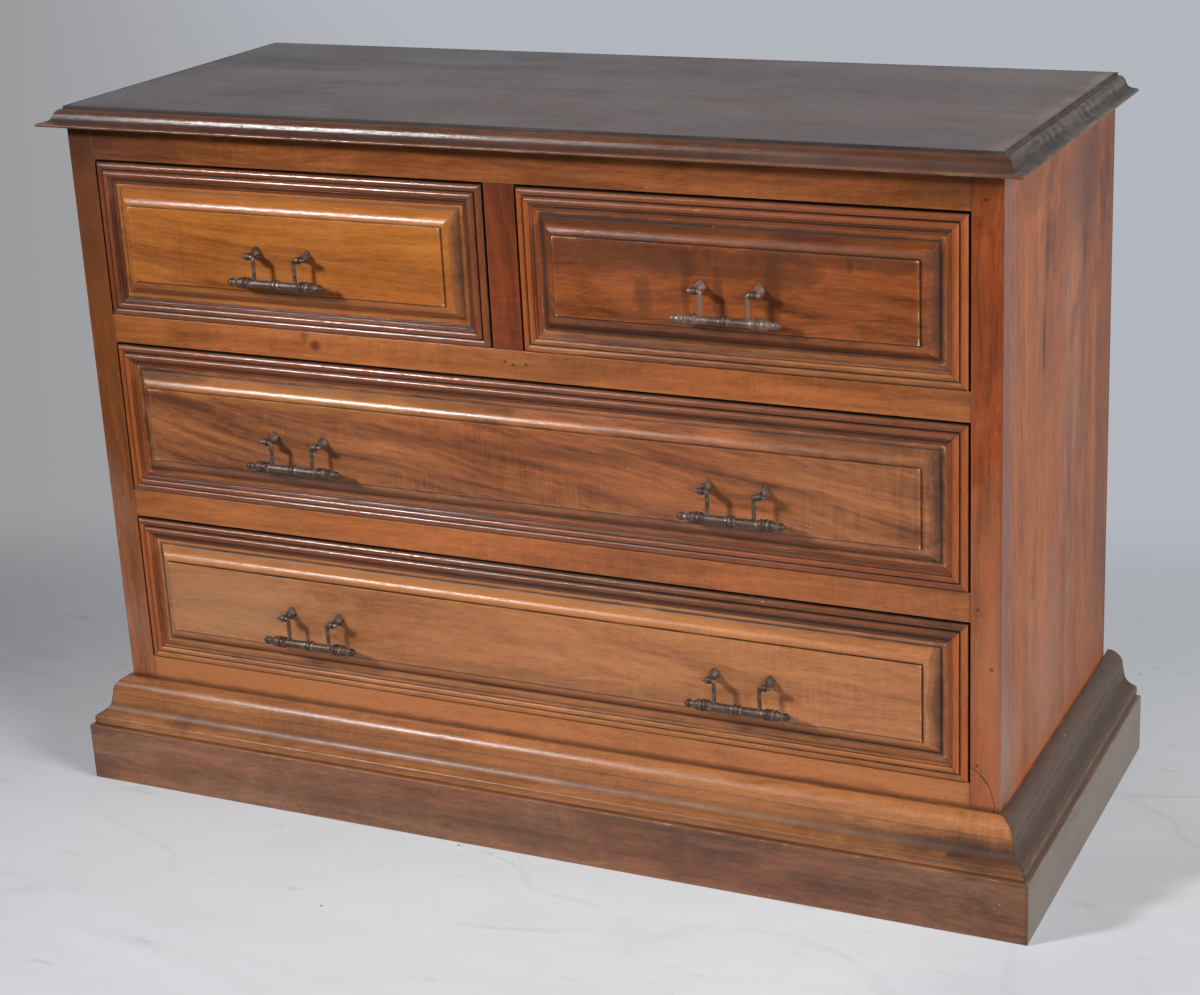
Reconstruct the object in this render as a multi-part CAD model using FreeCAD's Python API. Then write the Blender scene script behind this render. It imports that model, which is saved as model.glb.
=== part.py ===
import FreeCAD, Part
import math
import os

# A chest of two short drawers over two long ones, with drop handles.
# Millimetres. +X to the right, +Y to the back, +Z up. The origin is the centre of
# the footprint, on the floor. While the pieces are made, x is measured from the
# middle of the chest, y from the front plane of the stiles and z from the floor.

os.makedirs("parts", exist_ok=True)
Vec = FreeCAD.Vector

# Carcass
carcass_width = 1090.0            # over the side panels
carcass_depth = 430.0             # front of the stiles to the back of the side panels
side_panel_thickness = 20.0
stile_width = 33.0
stile_thickness = 25.0
muntin_width = 36.0
rail_depth = 45.0
rear_rail_thickness = 25.0
back_panel_thickness = 8.0
back_rebate_width = 10.0
tenon_length = 20.0
tenon_thickness = 10.0
tenon_shoulder = 5.0

# Heights, from the floor up
plinth_height = 70.0
base_moulding_height = 55.0
bottom_rail_show = 29.5           # what the base moulding leaves of the bottom rail
bottom_rail_hidden = 30.0         # what lies behind the base moulding
opening_height = 181.0
rail_height = 32.5
top_rail_height = 39.0
top_thickness = 20.5

# Top and its moulding
top_overhang = 1.2                # top board beyond the carcass, front and sides
top_rear_overhang = 5.0
top_fillet = 3.5                  # edge of the board that stands above the moulding
top_moulding_width = 23.3
top_lip = 2.5

# Plinth and the moulding on it
plinth_projection = 41.6          # outer face of the plinth beyond the carcass
plinth_rear_projection = 20.0
plinth_board = 22.0
plinth_back_board = 20.0
base_moulding_width = 36.6
base_moulding_lip = 10.6
batten_drop = 20.0                # top of the battens under the top of the plinth

# Runners, guides and stops
runner_width = 35.0
runner_height = 25.0
guide_height = 22.0
guide_clearance = 0.8             # between a guide and a drawer side
stop_length = 30.0
stop_depth = 18.0
stop_height = 5.0
stop_inset = 90.0                 # stop's centre from the side of the opening
seat_clearance = 0.3              # between a drawer and what it rests or stops on

# Drawer fronts
front_side_gap = 2.5
front_top_gap = 3.0
front_bottom_gap = 0.8
front_back = 20.0                 # back of the front, behind the front plane
rebate_floor = 8.0                # seat of the moulding, behind the front plane
front_moulding_width = 24.0
front_moulding_height = 5.2       # inner bead, proud of the front plane
panel_border = 5.0
panel_slope = 17.0
panel_height = 14.5               # field, proud of the front plane

# Drawer boxes
drawer_side_thickness = 12.0
drawer_top_clearance = 8.7        # over the drawer sides
drawer_rear_clearance = 5.0       # behind the drawer sides
drawer_back_thickness = 12.0
drawer_back_inset = 8.0
drawer_back_drop = 18.0           # top of the back under the top of the sides
drawer_housing = 6.0              # sides let into the front
back_housing = 4.0                # back let into the sides
bottom_thickness = 6.0
bottom_rise = 10.0                # underside of the bottom over the side's edge
bottom_groove = 5.0

# Drop handles
handle_centres = 64.0
eye_standoff = 18.0               # pivot of the bail in front of the panel's field
eye_boss_radius = 4.8
eye_boss_half_width = 3.4
wire_radius = 2.2
pivot_clearance = 0.05            # radial, wire in eye
arm_clearance = 0.4               # between the bail's arm and the post
wire_bend = 2.6
wire_tail = 4.6                   # wire that stands out of the eye
bail_drop = 30.0
bar_radius = 4.6
bar_overhang = 35.0               # bar beyond the middle of each arm
post_half_width = 7.0
post_half_height = 8.4
shank_radius = 2.0
shank_hole_clearance = 0.2
shank_tail = 7.0                  # shank beyond the back of the front
nut_across_flats = 7.0
nut_thickness = 3.2
nut_clearance = 0.03

# Worked out from the sizes above
half_width = carcass_width / 2
overall_depth = plinth_projection + carcass_depth + plinth_rear_projection
origin_shift = Vec(0, plinth_projection - overall_depth / 2, 0)
base_top = plinth_height + base_moulding_height
row_step = opening_height + rail_height
bottom_row = base_top + bottom_rail_show
middle_row = bottom_row + row_step
top_row = middle_row + row_step
underside_of_top = top_row + opening_height + top_rail_height
chest_height = underside_of_top + top_thickness
opening_half = half_width - stile_width
panel_half = half_width - side_panel_thickness
back_front_face = carcass_depth - back_panel_thickness
rear_rail_front = back_front_face - rear_rail_thickness
field_inset = front_moulding_width + panel_border + panel_slope
handle_x = (muntin_width / 2 + opening_half) / 2
drawer_side_height = opening_height - seat_clearance - drawer_top_clearance
drawer_side_end = rear_rail_front - drawer_rear_clearance
arm_x = handle_centres / 2 - eye_boss_half_width - arm_clearance - wire_radius
wire_end = handle_centres / 2 + eye_boss_half_width + wire_tail
bar_half_length = arm_x + bar_overhang


def box(x0, x1, y0, y1, z0, z1):
    """A board between two corners."""
    return Part.makeBox(x1 - x0, y1 - y0, z1 - z0, Vec(x0, y0, z0))


def cylinder(radius, length, start, along):
    return Part.makeCylinder(radius, length, start, along)


def joined(shapes):
    return shapes[0].fuse(shapes[1:]).removeSplitter()


def mirrored(shape):
    """The same piece on the other side of the middle of the chest."""
    return shape.mirror(Vec(0, 0, 0), Vec(1, 0, 0))


def outline(start, steps, place):
    """A closed face. A step is a point for a straight line, or a pair of points
    (through, end) for an arc. place turns the profile's two numbers into a point."""
    edges = []
    here = start
    for step in steps:
        if isinstance(step[0], tuple):
            through, end = step
            arc = Part.Arc(place(*here), place(*through), place(*end))
            edges.append(arc.toBSpline().toShape())
        else:
            end = step
            edges.append(Part.LineSegment(place(*here), place(*end)).toShape())
        here = end
    edges.append(Part.LineSegment(place(*here), place(*start)).toShape())
    return Part.Face(Part.Wire(edges))


def prism(points, direction):
    return Part.Face(Part.makePolygon(points + points[:1])).extrude(direction)


def export(name, shape):
    """Write one piece, or a group of like pieces, to its own file."""
    shapes = shape if isinstance(shape, list) else [shape]
    moved = [one.translated(origin_shift) for one in shapes]
    whole = moved[0] if len(moved) == 1 else Part.makeCompound(moved)
    whole.exportStep("parts/" + name + ".step")


# ---------------------------------------------------------------- mouldings

def carcass_moulding(start, steps, reach, rear_end):
    """Front, left and right lengths of a moulding around the carcass, mitred at the
    front corners. The profile is (offset out from the carcass, height)."""
    ends = half_width + reach
    front = outline(start, steps, lambda u, z: Vec(-ends, -u, z)).extrude(Vec(2 * ends, 0, 0))
    left = outline(start, steps, lambda u, z: Vec(-half_width - u, -reach, z))
    left = left.extrude(Vec(0, reach + rear_end, 0))
    up = Vec(0, 0, chest_height)
    front_plan = prism([Vec(-half_width, 0, 0), Vec(half_width, 0, 0),
                        Vec(ends, -reach, 0), Vec(-ends, -reach, 0)], up)
    left_plan = prism([Vec(-half_width, 0, 0), Vec(-ends, -reach, 0),
                       Vec(-ends, rear_end, 0), Vec(-half_width, rear_end, 0)], up)
    left = left.common(left_plan)
    return front.common(front_plan), left, mirrored(left)


def front_frame(start, steps, x0, x1, z0, z1, width):
    """Four lengths of moulding, mitred round a rectangle of the front. The profile
    is (distance in from the rectangle's edge, distance proud of the front plane)."""
    across = Vec(x1 - x0, 0, 0)
    upright = Vec(0, 0, z1 - z0)
    lengths = [
        outline(start, steps, lambda t, h: Vec(x0, -h, z1 - t)).extrude(across),
        outline(start, steps, lambda t, h: Vec(x0, -h, z0 + t)).extrude(across),
        outline(start, steps, lambda t, h: Vec(x0 + t, -h, z0)).extrude(upright),
        outline(start, steps, lambda t, h: Vec(x1 - t, -h, z0)).extrude(upright),
    ]
    outer = [(x0, z1), (x1, z1), (x1, z0), (x0, z0)]
    inner = [(x0 + width, z1 - width), (x1 - width, z1 - width),
             (x1 - width, z0 + width), (x0 + width, z0 + width)]
    sides = [(0, 1), (3, 2), (0, 3), (1, 2)]
    members = []
    for length, (a, b) in zip(lengths, sides):
        corners = [outer[a], outer[b], inner[b], inner[a]]
        points = [Vec(x, -2 * panel_height, z) for x, z in corners]
        members.append(length.common(prism(points, Vec(0, 4 * panel_height, 0))))
    return members


def top_moulding_profile():
    """Fillet, ovolo, hollow and a thin lip."""
    inner = top_overhang
    outer = top_overhang + top_moulding_width
    low = underside_of_top
    high = chest_height - top_fillet
    steps = [
        (inner, high),
        (inner + 2.8, high),
        ((inner + 6.9, high - 2.9), (inner + 9.3, high - 7.5)),
        ((inner + 11.4, high - 11.0), (inner + 15.3, high - 12.9)),
        (outer - 0.8, low + top_lip),
        ((outer, low + 0.6 * top_lip), (outer - 0.3, low)),
    ]
    return (inner, low), steps


def base_moulding_profile():
    """A large ogee over a square lip."""
    outer = base_moulding_width
    low = plinth_height
    lip = low + base_moulding_lip
    high = base_top
    steps = [
        (0, high),
        (2.0, high),
        ((14.2, high - 5.8), (19.0, high - 19.0)),
        (21.7, lip + 12.4),
        ((24.4, lip + 6.8), (outer - 7.1, lip + 3.9)),
        (outer - 1.0, lip + 0.4),
        ((outer - 0.2, lip - 0.4), (outer, lip - 1.4)),
        (outer, low + 2.0),
        (outer - 1.0, low),
    ]
    return (0, low), steps


def front_moulding_profile():
    """Two beads, a fillet and a hollow with a fine step at its foot."""
    width = front_moulding_width
    crest = front_moulding_height
    steps = [
        (0, 0.4),
        ((3.2, 2.9), (8.2, 1.0)),
        (8.9, 1.0),
        (8.9, crest - 2.3),
        ((11.9, crest), (15.6, crest - 1.3)),
        (15.9, crest - 2.2),
        (17.2, crest - 2.2),
        ((width - 5.1, 1.1), (width - 2.2, 0.7)),
        (width - 2.1, 0.2),
        (width, 0.1),
        (width, -rebate_floor),
    ]
    return (0, -rebate_floor), steps


def panel_slope_profile():
    """Flat border, hollow, roll and the small riser at the edge of the field."""
    start = panel_border
    edge = panel_border + panel_slope
    steps = [
        (0, 0),
        (start, 0),
        ((start + 5.8, 3.3), (start + 9.2, panel_height - 5.5)),
        ((start + 12.0, panel_height - 2.5), (edge - 0.9, panel_height - 2.7)),
        (edge - 0.4, panel_height - 2.7),
        (edge, panel_height),
        (edge, -rebate_floor),
    ]
    return (0, -rebate_floor), steps


# ---------------------------------------------------------------- carcass

def make_top():
    board = box(-half_width - top_overhang, half_width + top_overhang,
                -top_overhang, carcass_depth + top_rear_overhang,
                underside_of_top, chest_height)
    start, steps = top_moulding_profile()
    reach = top_overhang + top_moulding_width + 5
    front, left, right = carcass_moulding(start, steps, reach, carcass_depth + top_rear_overhang)
    export("top_board", board)
    export("top_moulding_front", front)
    export("top_moulding_left", left)
    export("top_moulding_right", right)


def make_plinth():
    inner = plinth_projection - plinth_board
    rear = carcass_depth + plinth_rear_projection
    steps = [(plinth_projection, 0), (plinth_projection, plinth_height), (inner, plinth_height)]
    front, left, right = carcass_moulding((inner, 0), steps, plinth_projection + 5, rear)
    back_half = half_width + inner
    back = box(-back_half, back_half, rear - plinth_back_board, rear, 0, plinth_height)
    export("plinth_front", front)
    export("plinth_left", left)
    export("plinth_right", right)
    export("plinth_back", back)

    start, steps = base_moulding_profile()
    front, left, right = carcass_moulding(start, steps, base_moulding_width + 5, rear)
    export("base_moulding_front", front)
    export("base_moulding_left", left)
    export("base_moulding_right", right)

    batten_top = plinth_height - batten_drop
    side_batten = box(-half_width - inner, -half_width, 0, carcass_depth, 0, batten_top)
    front_batten = box(-back_half, back_half, -inner, 0, 0, batten_top)
    export("plinth_battens", [front_batten, side_batten, mirrored(side_batten)])


def make_side_panels():
    panel = box(-half_width, -panel_half, stile_thickness, carcass_depth, 0, underside_of_top)
    rebate = box(-half_width + back_rebate_width, -panel_half, back_front_face, carcass_depth,
                 plinth_height, underside_of_top)
    panel = panel.cut(rebate)
    export("side_panel_left", panel)
    export("side_panel_right", mirrored(panel))
    back_half = half_width - back_rebate_width
    export("back_panel", box(-back_half, back_half, back_front_face, carcass_depth,
                             plinth_height, underside_of_top))


def tenon(x0, x1, z0, z1):
    """Tenon of a rail, or the mortise for it."""
    middle = stile_thickness / 2
    return box(x0, x1, middle - tenon_thickness / 2, middle + tenon_thickness / 2,
               z0 + tenon_shoulder, z1 - tenon_shoulder)


def make_front_frame():
    rails = {
        "bottom_rail": (base_top - bottom_rail_hidden, bottom_row),
        "lower_drawer_rail": (middle_row - rail_height, middle_row),
        "upper_drawer_rail": (top_row - rail_height, top_row),
        "top_rail": (underside_of_top - top_rail_height, underside_of_top),
    }
    stile = box(-half_width, -opening_half, 0, stile_thickness, 0, underside_of_top)
    tenon_end = opening_half + tenon_length
    muntin_half = muntin_width / 2
    middle = stile_thickness / 2
    muntin_tenon = box(-muntin_half + tenon_shoulder, muntin_half - tenon_shoulder,
                       middle - tenon_thickness / 2, middle + tenon_thickness / 2,
                       top_row - tenon_length, top_row + opening_height + tenon_length)
    for name, (low, high) in rails.items():
        stile = stile.cut(tenon(-tenon_end, -opening_half, low, high))
        rail = joined([box(-opening_half, opening_half, 0, rail_depth, low, high),
                       tenon(-tenon_end, tenon_end, low, high)])
        if name in ("upper_drawer_rail", "top_rail"):
            rail = rail.cut(muntin_tenon)
        export(name, rail)
    export("front_stile_left", stile)
    export("front_stile_right", mirrored(stile))
    muntin = box(-muntin_half, muntin_half, 0, stile_thickness, top_row, top_row + opening_height)
    export("centre_muntin", joined([muntin, muntin_tenon]))

    rear = [box(-panel_half, panel_half, rear_rail_front, back_front_face, low, high)
            for low, high in rails.values()]
    export("rear_rails", rear)


def make_runners():
    """Runners under the drawer sides, kickers over the short drawers, guides beside
    the drawers and stops behind their fronts."""
    runner_half = muntin_width / 2 + runner_width
    outer = -panel_half
    inner = -panel_half + runner_width
    runners = []
    guides = []
    side_guide_face = opening_half - front_side_gap + guide_clearance
    centre_guide_half = muntin_width / 2 + front_side_gap - guide_clearance
    for row in (bottom_row, middle_row, top_row):
        runner = box(outer, inner, rail_depth, rear_rail_front, row - runner_height, row)
        runners += [runner, mirrored(runner)]
        guide = box(outer, -side_guide_face, stile_thickness, rear_rail_front, row, row + guide_height)
        guides += [guide, mirrored(guide)]
    kick = top_row + opening_height
    kicker = box(outer, inner, rail_depth, rear_rail_front, kick, kick + runner_height)
    runners += [kicker, mirrored(kicker)]
    for low in (top_row - runner_height, kick):
        runners.append(box(-runner_half, runner_half, rail_depth, rear_rail_front,
                           low, low + runner_height))
    guides.append(box(-centre_guide_half, centre_guide_half, stile_thickness, rear_rail_front,
                      top_row, top_row + guide_height))
    export("drawer_runners", runners)
    export("drawer_guides", guides)

    stop_front = front_back + seat_clearance
    muntin_half = muntin_width / 2
    stops = []
    for x0, x1, row in ((-opening_half, opening_half, bottom_row),
                        (-opening_half, opening_half, middle_row),
                        (-opening_half, -muntin_half, top_row),
                        (muntin_half, opening_half, top_row)):
        for centre in (x0 + stop_inset, x1 - stop_inset):
            stops.append(box(centre - stop_length / 2, centre + stop_length / 2,
                             stop_front, stop_front + stop_depth, row, row + stop_height))
    export("drawer_stops", stops)


# ---------------------------------------------------------------- handles

def post_section(half_wide, half_high, point, distance):
    """A closed outline of four arcs across the post; point is under 1 for a shape
    that comes nearer to a diamond. distance is in front of the field."""
    y = eye_standoff - distance
    corner = point / math.sqrt(2)
    tips = [(half_wide, 0), (0, half_high), (-half_wide, 0), (0, -half_high)]
    turns = [(corner, corner), (-corner, corner), (-corner, -corner), (corner, -corner)]
    edges = []
    for number, (sx, sz) in enumerate(turns):
        a = tips[number]
        b = tips[(number + 1) % 4]
        edges.append(Part.Arc(Vec(a[0], y, a[1]), Vec(sx * half_wide, y, sz * half_high),
                              Vec(b[0], y, b[1])).toShape())
    return Part.Wire(edges)


def make_post():
    """Post with its pivot eye at the origin and its shank along +Y."""
    neck = eye_boss_half_width
    reach = eye_standoff - neck
    sections = []
    for distance, spread, point in ((0, 1.0, 0.90), (0.1, 0.95, 0.91), (0.34, 0.52, 0.95),
                                    (0.65, 0.17, 1.0), (1, 0.0, 1.0)):
        half_wide = neck + spread * (post_half_width - neck)
        half_high = neck + spread * (post_half_height - neck)
        sections.append(post_section(half_wide, half_high, point, distance * reach))
    body = Part.makeLoft(sections, True, False)
    boss = cylinder(eye_boss_radius, 2 * eye_boss_half_width,
                    Vec(-eye_boss_half_width, 0, 0), Vec(1, 0, 0))
    rims = [edge for edge in boss.Edges if isinstance(edge.Curve, Part.Circle)]
    boss = boss.makeFillet(1.0, rims)
    shank_length = panel_height + front_back + shank_tail
    shank = cylinder(shank_radius, shank_length + 1, Vec(0, eye_standoff - 1, 0), Vec(0, 1, 0))
    post = joined([body, boss, shank])
    eye = cylinder(wire_radius + pivot_clearance, 4 * eye_boss_half_width,
                   Vec(-2 * eye_boss_half_width, 0, 0), Vec(1, 0, 0))
    return post.cut(eye)


def make_nut():
    """Hexagon nut on the shank, seated on the back of the drawer front."""
    seat = eye_standoff + panel_height + front_back
    corner = nut_across_flats / math.sqrt(3)
    points = [Vec(corner * math.cos(math.radians(60 * k)), seat,
                  corner * math.sin(math.radians(60 * k))) for k in range(6)]
    bore = cylinder(shank_radius + nut_clearance, 2 * nut_thickness, Vec(0, seat - 1, 0), Vec(0, 1, 0))
    return prism(points, Vec(0, nut_thickness, 0)).cut(bore)


def make_bail():
    """Bail with its pivot on the X axis: a turned bar, hung from two wire arms whose
    ends turn outwards through the posts' eyes."""
    r = bar_radius
    end = bar_half_length
    tip = r - 1.9
    slant = tip * math.sqrt(0.5)
    steps = [
        (0, r + 0.5),
        (0.8, r + 0.5),
        ((2.5, r + 1.5), (4.2, r + 0.5)),
        (4.2, r),
        (end - 32.6, r),
        ((end - 30.6, r + 0.4), (end - 28.8, r + 1.3)),
        ((end - 26.8, r + 1.9), (end - 24.8, r + 1.2)),
        (end - 24.8, r + 0.5),
        (end - 23.8, r + 0.5),
        (end - 23.8, r + 1.3),
        ((end - 21.8, r + 2.1), (end - 19.8, r + 1.4)),
        (end - 19.8, r + 0.9),
        (end - 19.2, r + 0.9),
        ((end - 16.8, r + 1.5), (end - 14.0, r + 0.5)),
        ((end - 11.4, r - 0.8), (end - 8.4, r - 1.5)),
        (end - 8.4, r - 0.9),
        ((end - 5.6, r - 0.1), (end - tip, r - 1.1)),
        (end - tip, tip),
        ((end - tip + slant, slant), (end, 0)),
    ]
    half = outline((0, 0), steps, lambda x, h: Vec(x, 0, h - bail_drop))
    half = half.revolve(Vec(0, 0, -bail_drop), Vec(1, 0, 0), 360)

    bend = arm_x + wire_bend
    turn = wire_bend * (1 - math.sqrt(0.5))
    path = Part.Wire([
        Part.LineSegment(Vec(arm_x, 0, -bail_drop), Vec(arm_x, 0, -wire_bend)).toShape(),
        Part.Arc(Vec(arm_x, 0, -wire_bend), Vec(arm_x + turn, 0, -turn), Vec(bend, 0, 0)).toShape(),
        Part.LineSegment(Vec(bend, 0, 0), Vec(wire_end - wire_radius, 0, 0)).toShape(),
    ])
    section = Part.Wire(Part.Circle(Vec(arm_x, 0, -bail_drop), Vec(0, 0, 1), wire_radius).toShape())
    arm = path.makePipeShell([section], True, False)
    tip = Part.makeSphere(wire_radius, Vec(wire_end - wire_radius, 0, 0))
    side = joined([half, arm, tip])
    return joined([side, mirrored(side)])


# ---------------------------------------------------------------- drawers

def make_drawer(name, x0, x1, row, handles):
    """One drawer in the opening from x0 to x1 whose floor is at row."""
    left = x0 + front_side_gap
    right = x1 - front_side_gap
    low = row + front_bottom_gap
    high = row + opening_height - front_top_gap
    middle = row + opening_height / 2

    # box: sides, back and bottom
    seat = row + seat_clearance
    side_front = front_back - drawer_housing
    inner_left = left + drawer_side_thickness
    inner_right = right - drawer_side_thickness
    back_face = drawer_side_end - drawer_back_inset
    back_front = back_face - drawer_back_thickness
    bottom_low = seat + bottom_rise
    bottom_high = bottom_low + bottom_thickness
    back_high = seat + drawer_side_height - drawer_back_drop
    bottom = box(inner_left - bottom_groove, inner_right + bottom_groove,
                 side_front, back_face, bottom_low, bottom_high)
    back = box(inner_left - back_housing, inner_right + back_housing,
               back_front, back_face, bottom_high, back_high)
    sides = []
    for outer, inner in ((left, inner_left), (inner_right, right)):
        side = box(outer, inner, side_front, drawer_side_end, seat, seat + drawer_side_height)
        sides.append(side.cut([bottom, back]))

    # front: raised panel on the front board, with a rebate for the moulding
    slope_left = left + front_moulding_width
    slope_right = right - front_moulding_width
    slope_low = low + front_moulding_width
    slope_high = high - front_moulding_width
    start, steps = panel_slope_profile()
    slopes = front_frame(start, steps, slope_left, slope_right, slope_low, slope_high,
                         panel_border + panel_slope)
    field = box(left + field_inset, right - field_inset, -panel_height, rebate_floor,
                low + field_inset, high - field_inset)
    board = box(left, right, rebate_floor, front_back, low, high)
    front = joined([board, field] + slopes)
    housings = [box(left, inner_left, side_front, front_back, seat, seat + drawer_side_height),
                box(inner_right, right, side_front, front_back, seat, seat + drawer_side_height)]
    posts = []
    nuts = []
    holes = []
    for centre in handles:
        for side in (-1, 1):
            at = Vec(centre + side * handle_centres / 2, -panel_height - eye_standoff, middle)
            posts.append(make_post().translated(at))
            nuts.append(make_nut().translated(at))
            holes.append(cylinder(shank_radius + shank_hole_clearance,
                                  eye_standoff + panel_height + 2 * front_back,
                                  at, Vec(0, 1, 0)))
    front = front.cut(housings + [bottom] + holes)

    start, steps = front_moulding_profile()
    moulding = front_frame(start, steps, left, right, low, high, front_moulding_width)

    export(name + "_front", front)
    export(name + "_front_moulding", moulding)
    export(name + "_sides", sides)
    export(name + "_back", back)
    export(name + "_bottom", bottom)
    export(name + "_handle_posts", posts)
    export(name + "_handle_nuts", nuts)
    return middle


def make_drawers():
    muntin_half = muntin_width / 2
    bail = make_bail()
    layout = {
        "top_left_drawer": (-opening_half, -muntin_half, top_row, {"top_left_bail": -handle_x}),
        "top_right_drawer": (muntin_half, opening_half, top_row, {"top_right_bail": handle_x}),
        "middle_drawer": (-opening_half, opening_half, middle_row,
                          {"middle_left_bail": -handle_x, "middle_right_bail": handle_x}),
        "bottom_drawer": (-opening_half, opening_half, bottom_row,
                          {"bottom_left_bail": -handle_x, "bottom_right_bail": handle_x}),
    }
    for name, (x0, x1, row, bails) in layout.items():
        middle = make_drawer(name, x0, x1, row, list(bails.values()))
        for bail_name, centre in bails.items():
            export(bail_name, bail.translated(Vec(centre, -panel_height - eye_standoff, middle)))


make_top()
make_plinth()
make_side_panels()
make_front_frame()
make_runners()
make_drawers()
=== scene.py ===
"""Dresses a chest of two short drawers over two long ones: worn varnished wood,
cast drop handles, a pale floor, lamps and a camera."""

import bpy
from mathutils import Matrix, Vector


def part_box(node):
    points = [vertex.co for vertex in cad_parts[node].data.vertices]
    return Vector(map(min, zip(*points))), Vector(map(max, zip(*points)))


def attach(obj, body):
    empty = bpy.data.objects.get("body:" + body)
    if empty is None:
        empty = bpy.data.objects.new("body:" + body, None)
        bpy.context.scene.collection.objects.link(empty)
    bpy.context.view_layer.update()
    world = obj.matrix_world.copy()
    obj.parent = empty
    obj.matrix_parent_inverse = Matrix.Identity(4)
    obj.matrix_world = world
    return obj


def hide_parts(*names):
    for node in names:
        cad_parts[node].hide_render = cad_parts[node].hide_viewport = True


bl_info = {
    "name": "Chest of Drawers",
    "version": (1, 0, 0),
    "blender": (4, 5, 0),
    "location": "3D View > Sidebar > Chest",
    "description": "Builds the wood, handles, floor and lamps of a chest of drawers",
    "category": "Add Mesh",
}

import math
import zlib

import bpy
import numpy as np
from bpy.props import FloatProperty, FloatVectorProperty, PointerProperty
from mathutils import Matrix, Vector

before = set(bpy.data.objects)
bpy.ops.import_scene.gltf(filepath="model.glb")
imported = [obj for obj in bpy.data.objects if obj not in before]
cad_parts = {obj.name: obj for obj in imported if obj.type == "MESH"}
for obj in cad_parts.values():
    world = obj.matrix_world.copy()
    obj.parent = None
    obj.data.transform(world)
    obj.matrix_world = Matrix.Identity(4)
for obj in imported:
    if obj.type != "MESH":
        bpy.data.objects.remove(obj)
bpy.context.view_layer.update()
MM = 0.001
RIGHT, BACK, UP = (1, 0, 0), (0, 1, 0), (0, 0, 1)
LEFT, AHEAD, DOWN = (-1, 0, 0), (0, -1, 0), (0, 0, -1)

DRAWERS = ("top_left_drawer", "top_right_drawer", "middle_drawer", "bottom_drawer")
HANDLES = {
    "top_left": "top_left_drawer", "top_right": "top_right_drawer",
    "middle_left": "middle_drawer", "middle_right": "middle_drawer",
    "bottom_left": "bottom_drawer", "bottom_right": "bottom_drawer",
}

# Outlines in millimetres. A step is a point for a straight line, or a pair of points
# (through, end) for an arc. A turned outline is (x, radius) and ends on the small TIP.
TIP = 0.02
TOP_MOULDING = ((0, 0), [
    (0, 17.0), (2.8, 17.0), ((6.9, 14.1), (9.3, 9.5)), ((11.4, 6.0), (15.3, 4.1)),
    (21.8, 3.2), ((23.3, 1.9), (22.7, 0)),
])
BASE_MOULDING = ((0, 0), [
    (0, 55.0), (2.0, 55.0), ((14.2, 49.2), (19.0, 36.0)), (21.0, 26.4),
    ((24.4, 18.0), (31.0, 13.6)), (35.6, 11.0), ((36.4, 10.2), (36.6, 9.2)),
    (36.6, 2.0), (35.6, 0),
])
FRONT_MOULDING = ((0, -8.0), [
    (0, 0.4), ((3.2, 2.9), (8.2, 1.0)), (8.9, 1.0), (8.9, 2.9), ((11.9, 5.2), (15.6, 3.9)),
    (15.9, 3.0), (17.2, 3.0), ((18.9, 1.1), (21.8, 0.7)), (21.9, 0.2), (24.0, 0.1), (24.0, -8.0),
])
RAISED_PANEL = ((0, -20.0), [
    (0, -8.0), (24.0, -8.0), (24.0, 0), (28.5, 0), ((32.6, 3.9), (36.0, 8.3)),
    ((40.6, 11.0), (45.2, 11.9)), (45.6, 11.7), (46.0, 14.5), (50.0, 14.5),
])
HANDLE_BAR = ((0, 5.1), [
    (0.8, 5.1), ((2.5, 6.1), (4.2, 5.1)), (4.2, 4.6), (28.4, 4.6), ((30.4, 5.0), (32.2, 5.9)),
    ((34.2, 6.5), (36.2, 5.8)), (36.2, 5.1), (37.2, 5.1), (37.2, 5.9), ((39.2, 6.7), (41.2, 6.0)),
    (41.2, 5.5), (41.8, 5.5), ((44.2, 6.1), (47.0, 5.1)), ((49.6, 3.8), (52.6, 3.1)),
    (52.6, 3.7), ((55.4, 4.5), (58.3, 3.5)), (58.3, 2.7), ((60.2, 1.9), (61.0, TIP)),
])
TOP_OVERHANG = 1.2                # top board beyond the carcass
TOP_EDGE = 6.0                    # rim of the top board, kept as a ring of its own
FRONT_BACK = 20.0                 # back of a drawer front, behind its plane

# Handles, millimetres from the pivot's axis
EYE_CENTRES = 64.0
EYE_STANDOFF = 18.0
EYE_RADIUS = 4.0
EYE_HALF_WIDTH = 2.9
WIRE_RADIUS = 2.2
WIRE_BEND = 2.6
ARM_X = 26.0
WIRE_END = 40.0
BAIL_DROP = 30.0
POST_HALF_WIDTH = 6.0
POST_HALF_HEIGHT = 7.6
SHANK_RADIUS = 2.0
BAR_REACH = 33.0                  # the brightness of a rubbed bar grows up to here
BAR_ARRIS = 0.2 * MM
EYE_ARRIS = 0.4 * MM
RUBBED_HANDLE, RUBBED_TONE = "top_right", 0.45

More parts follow.
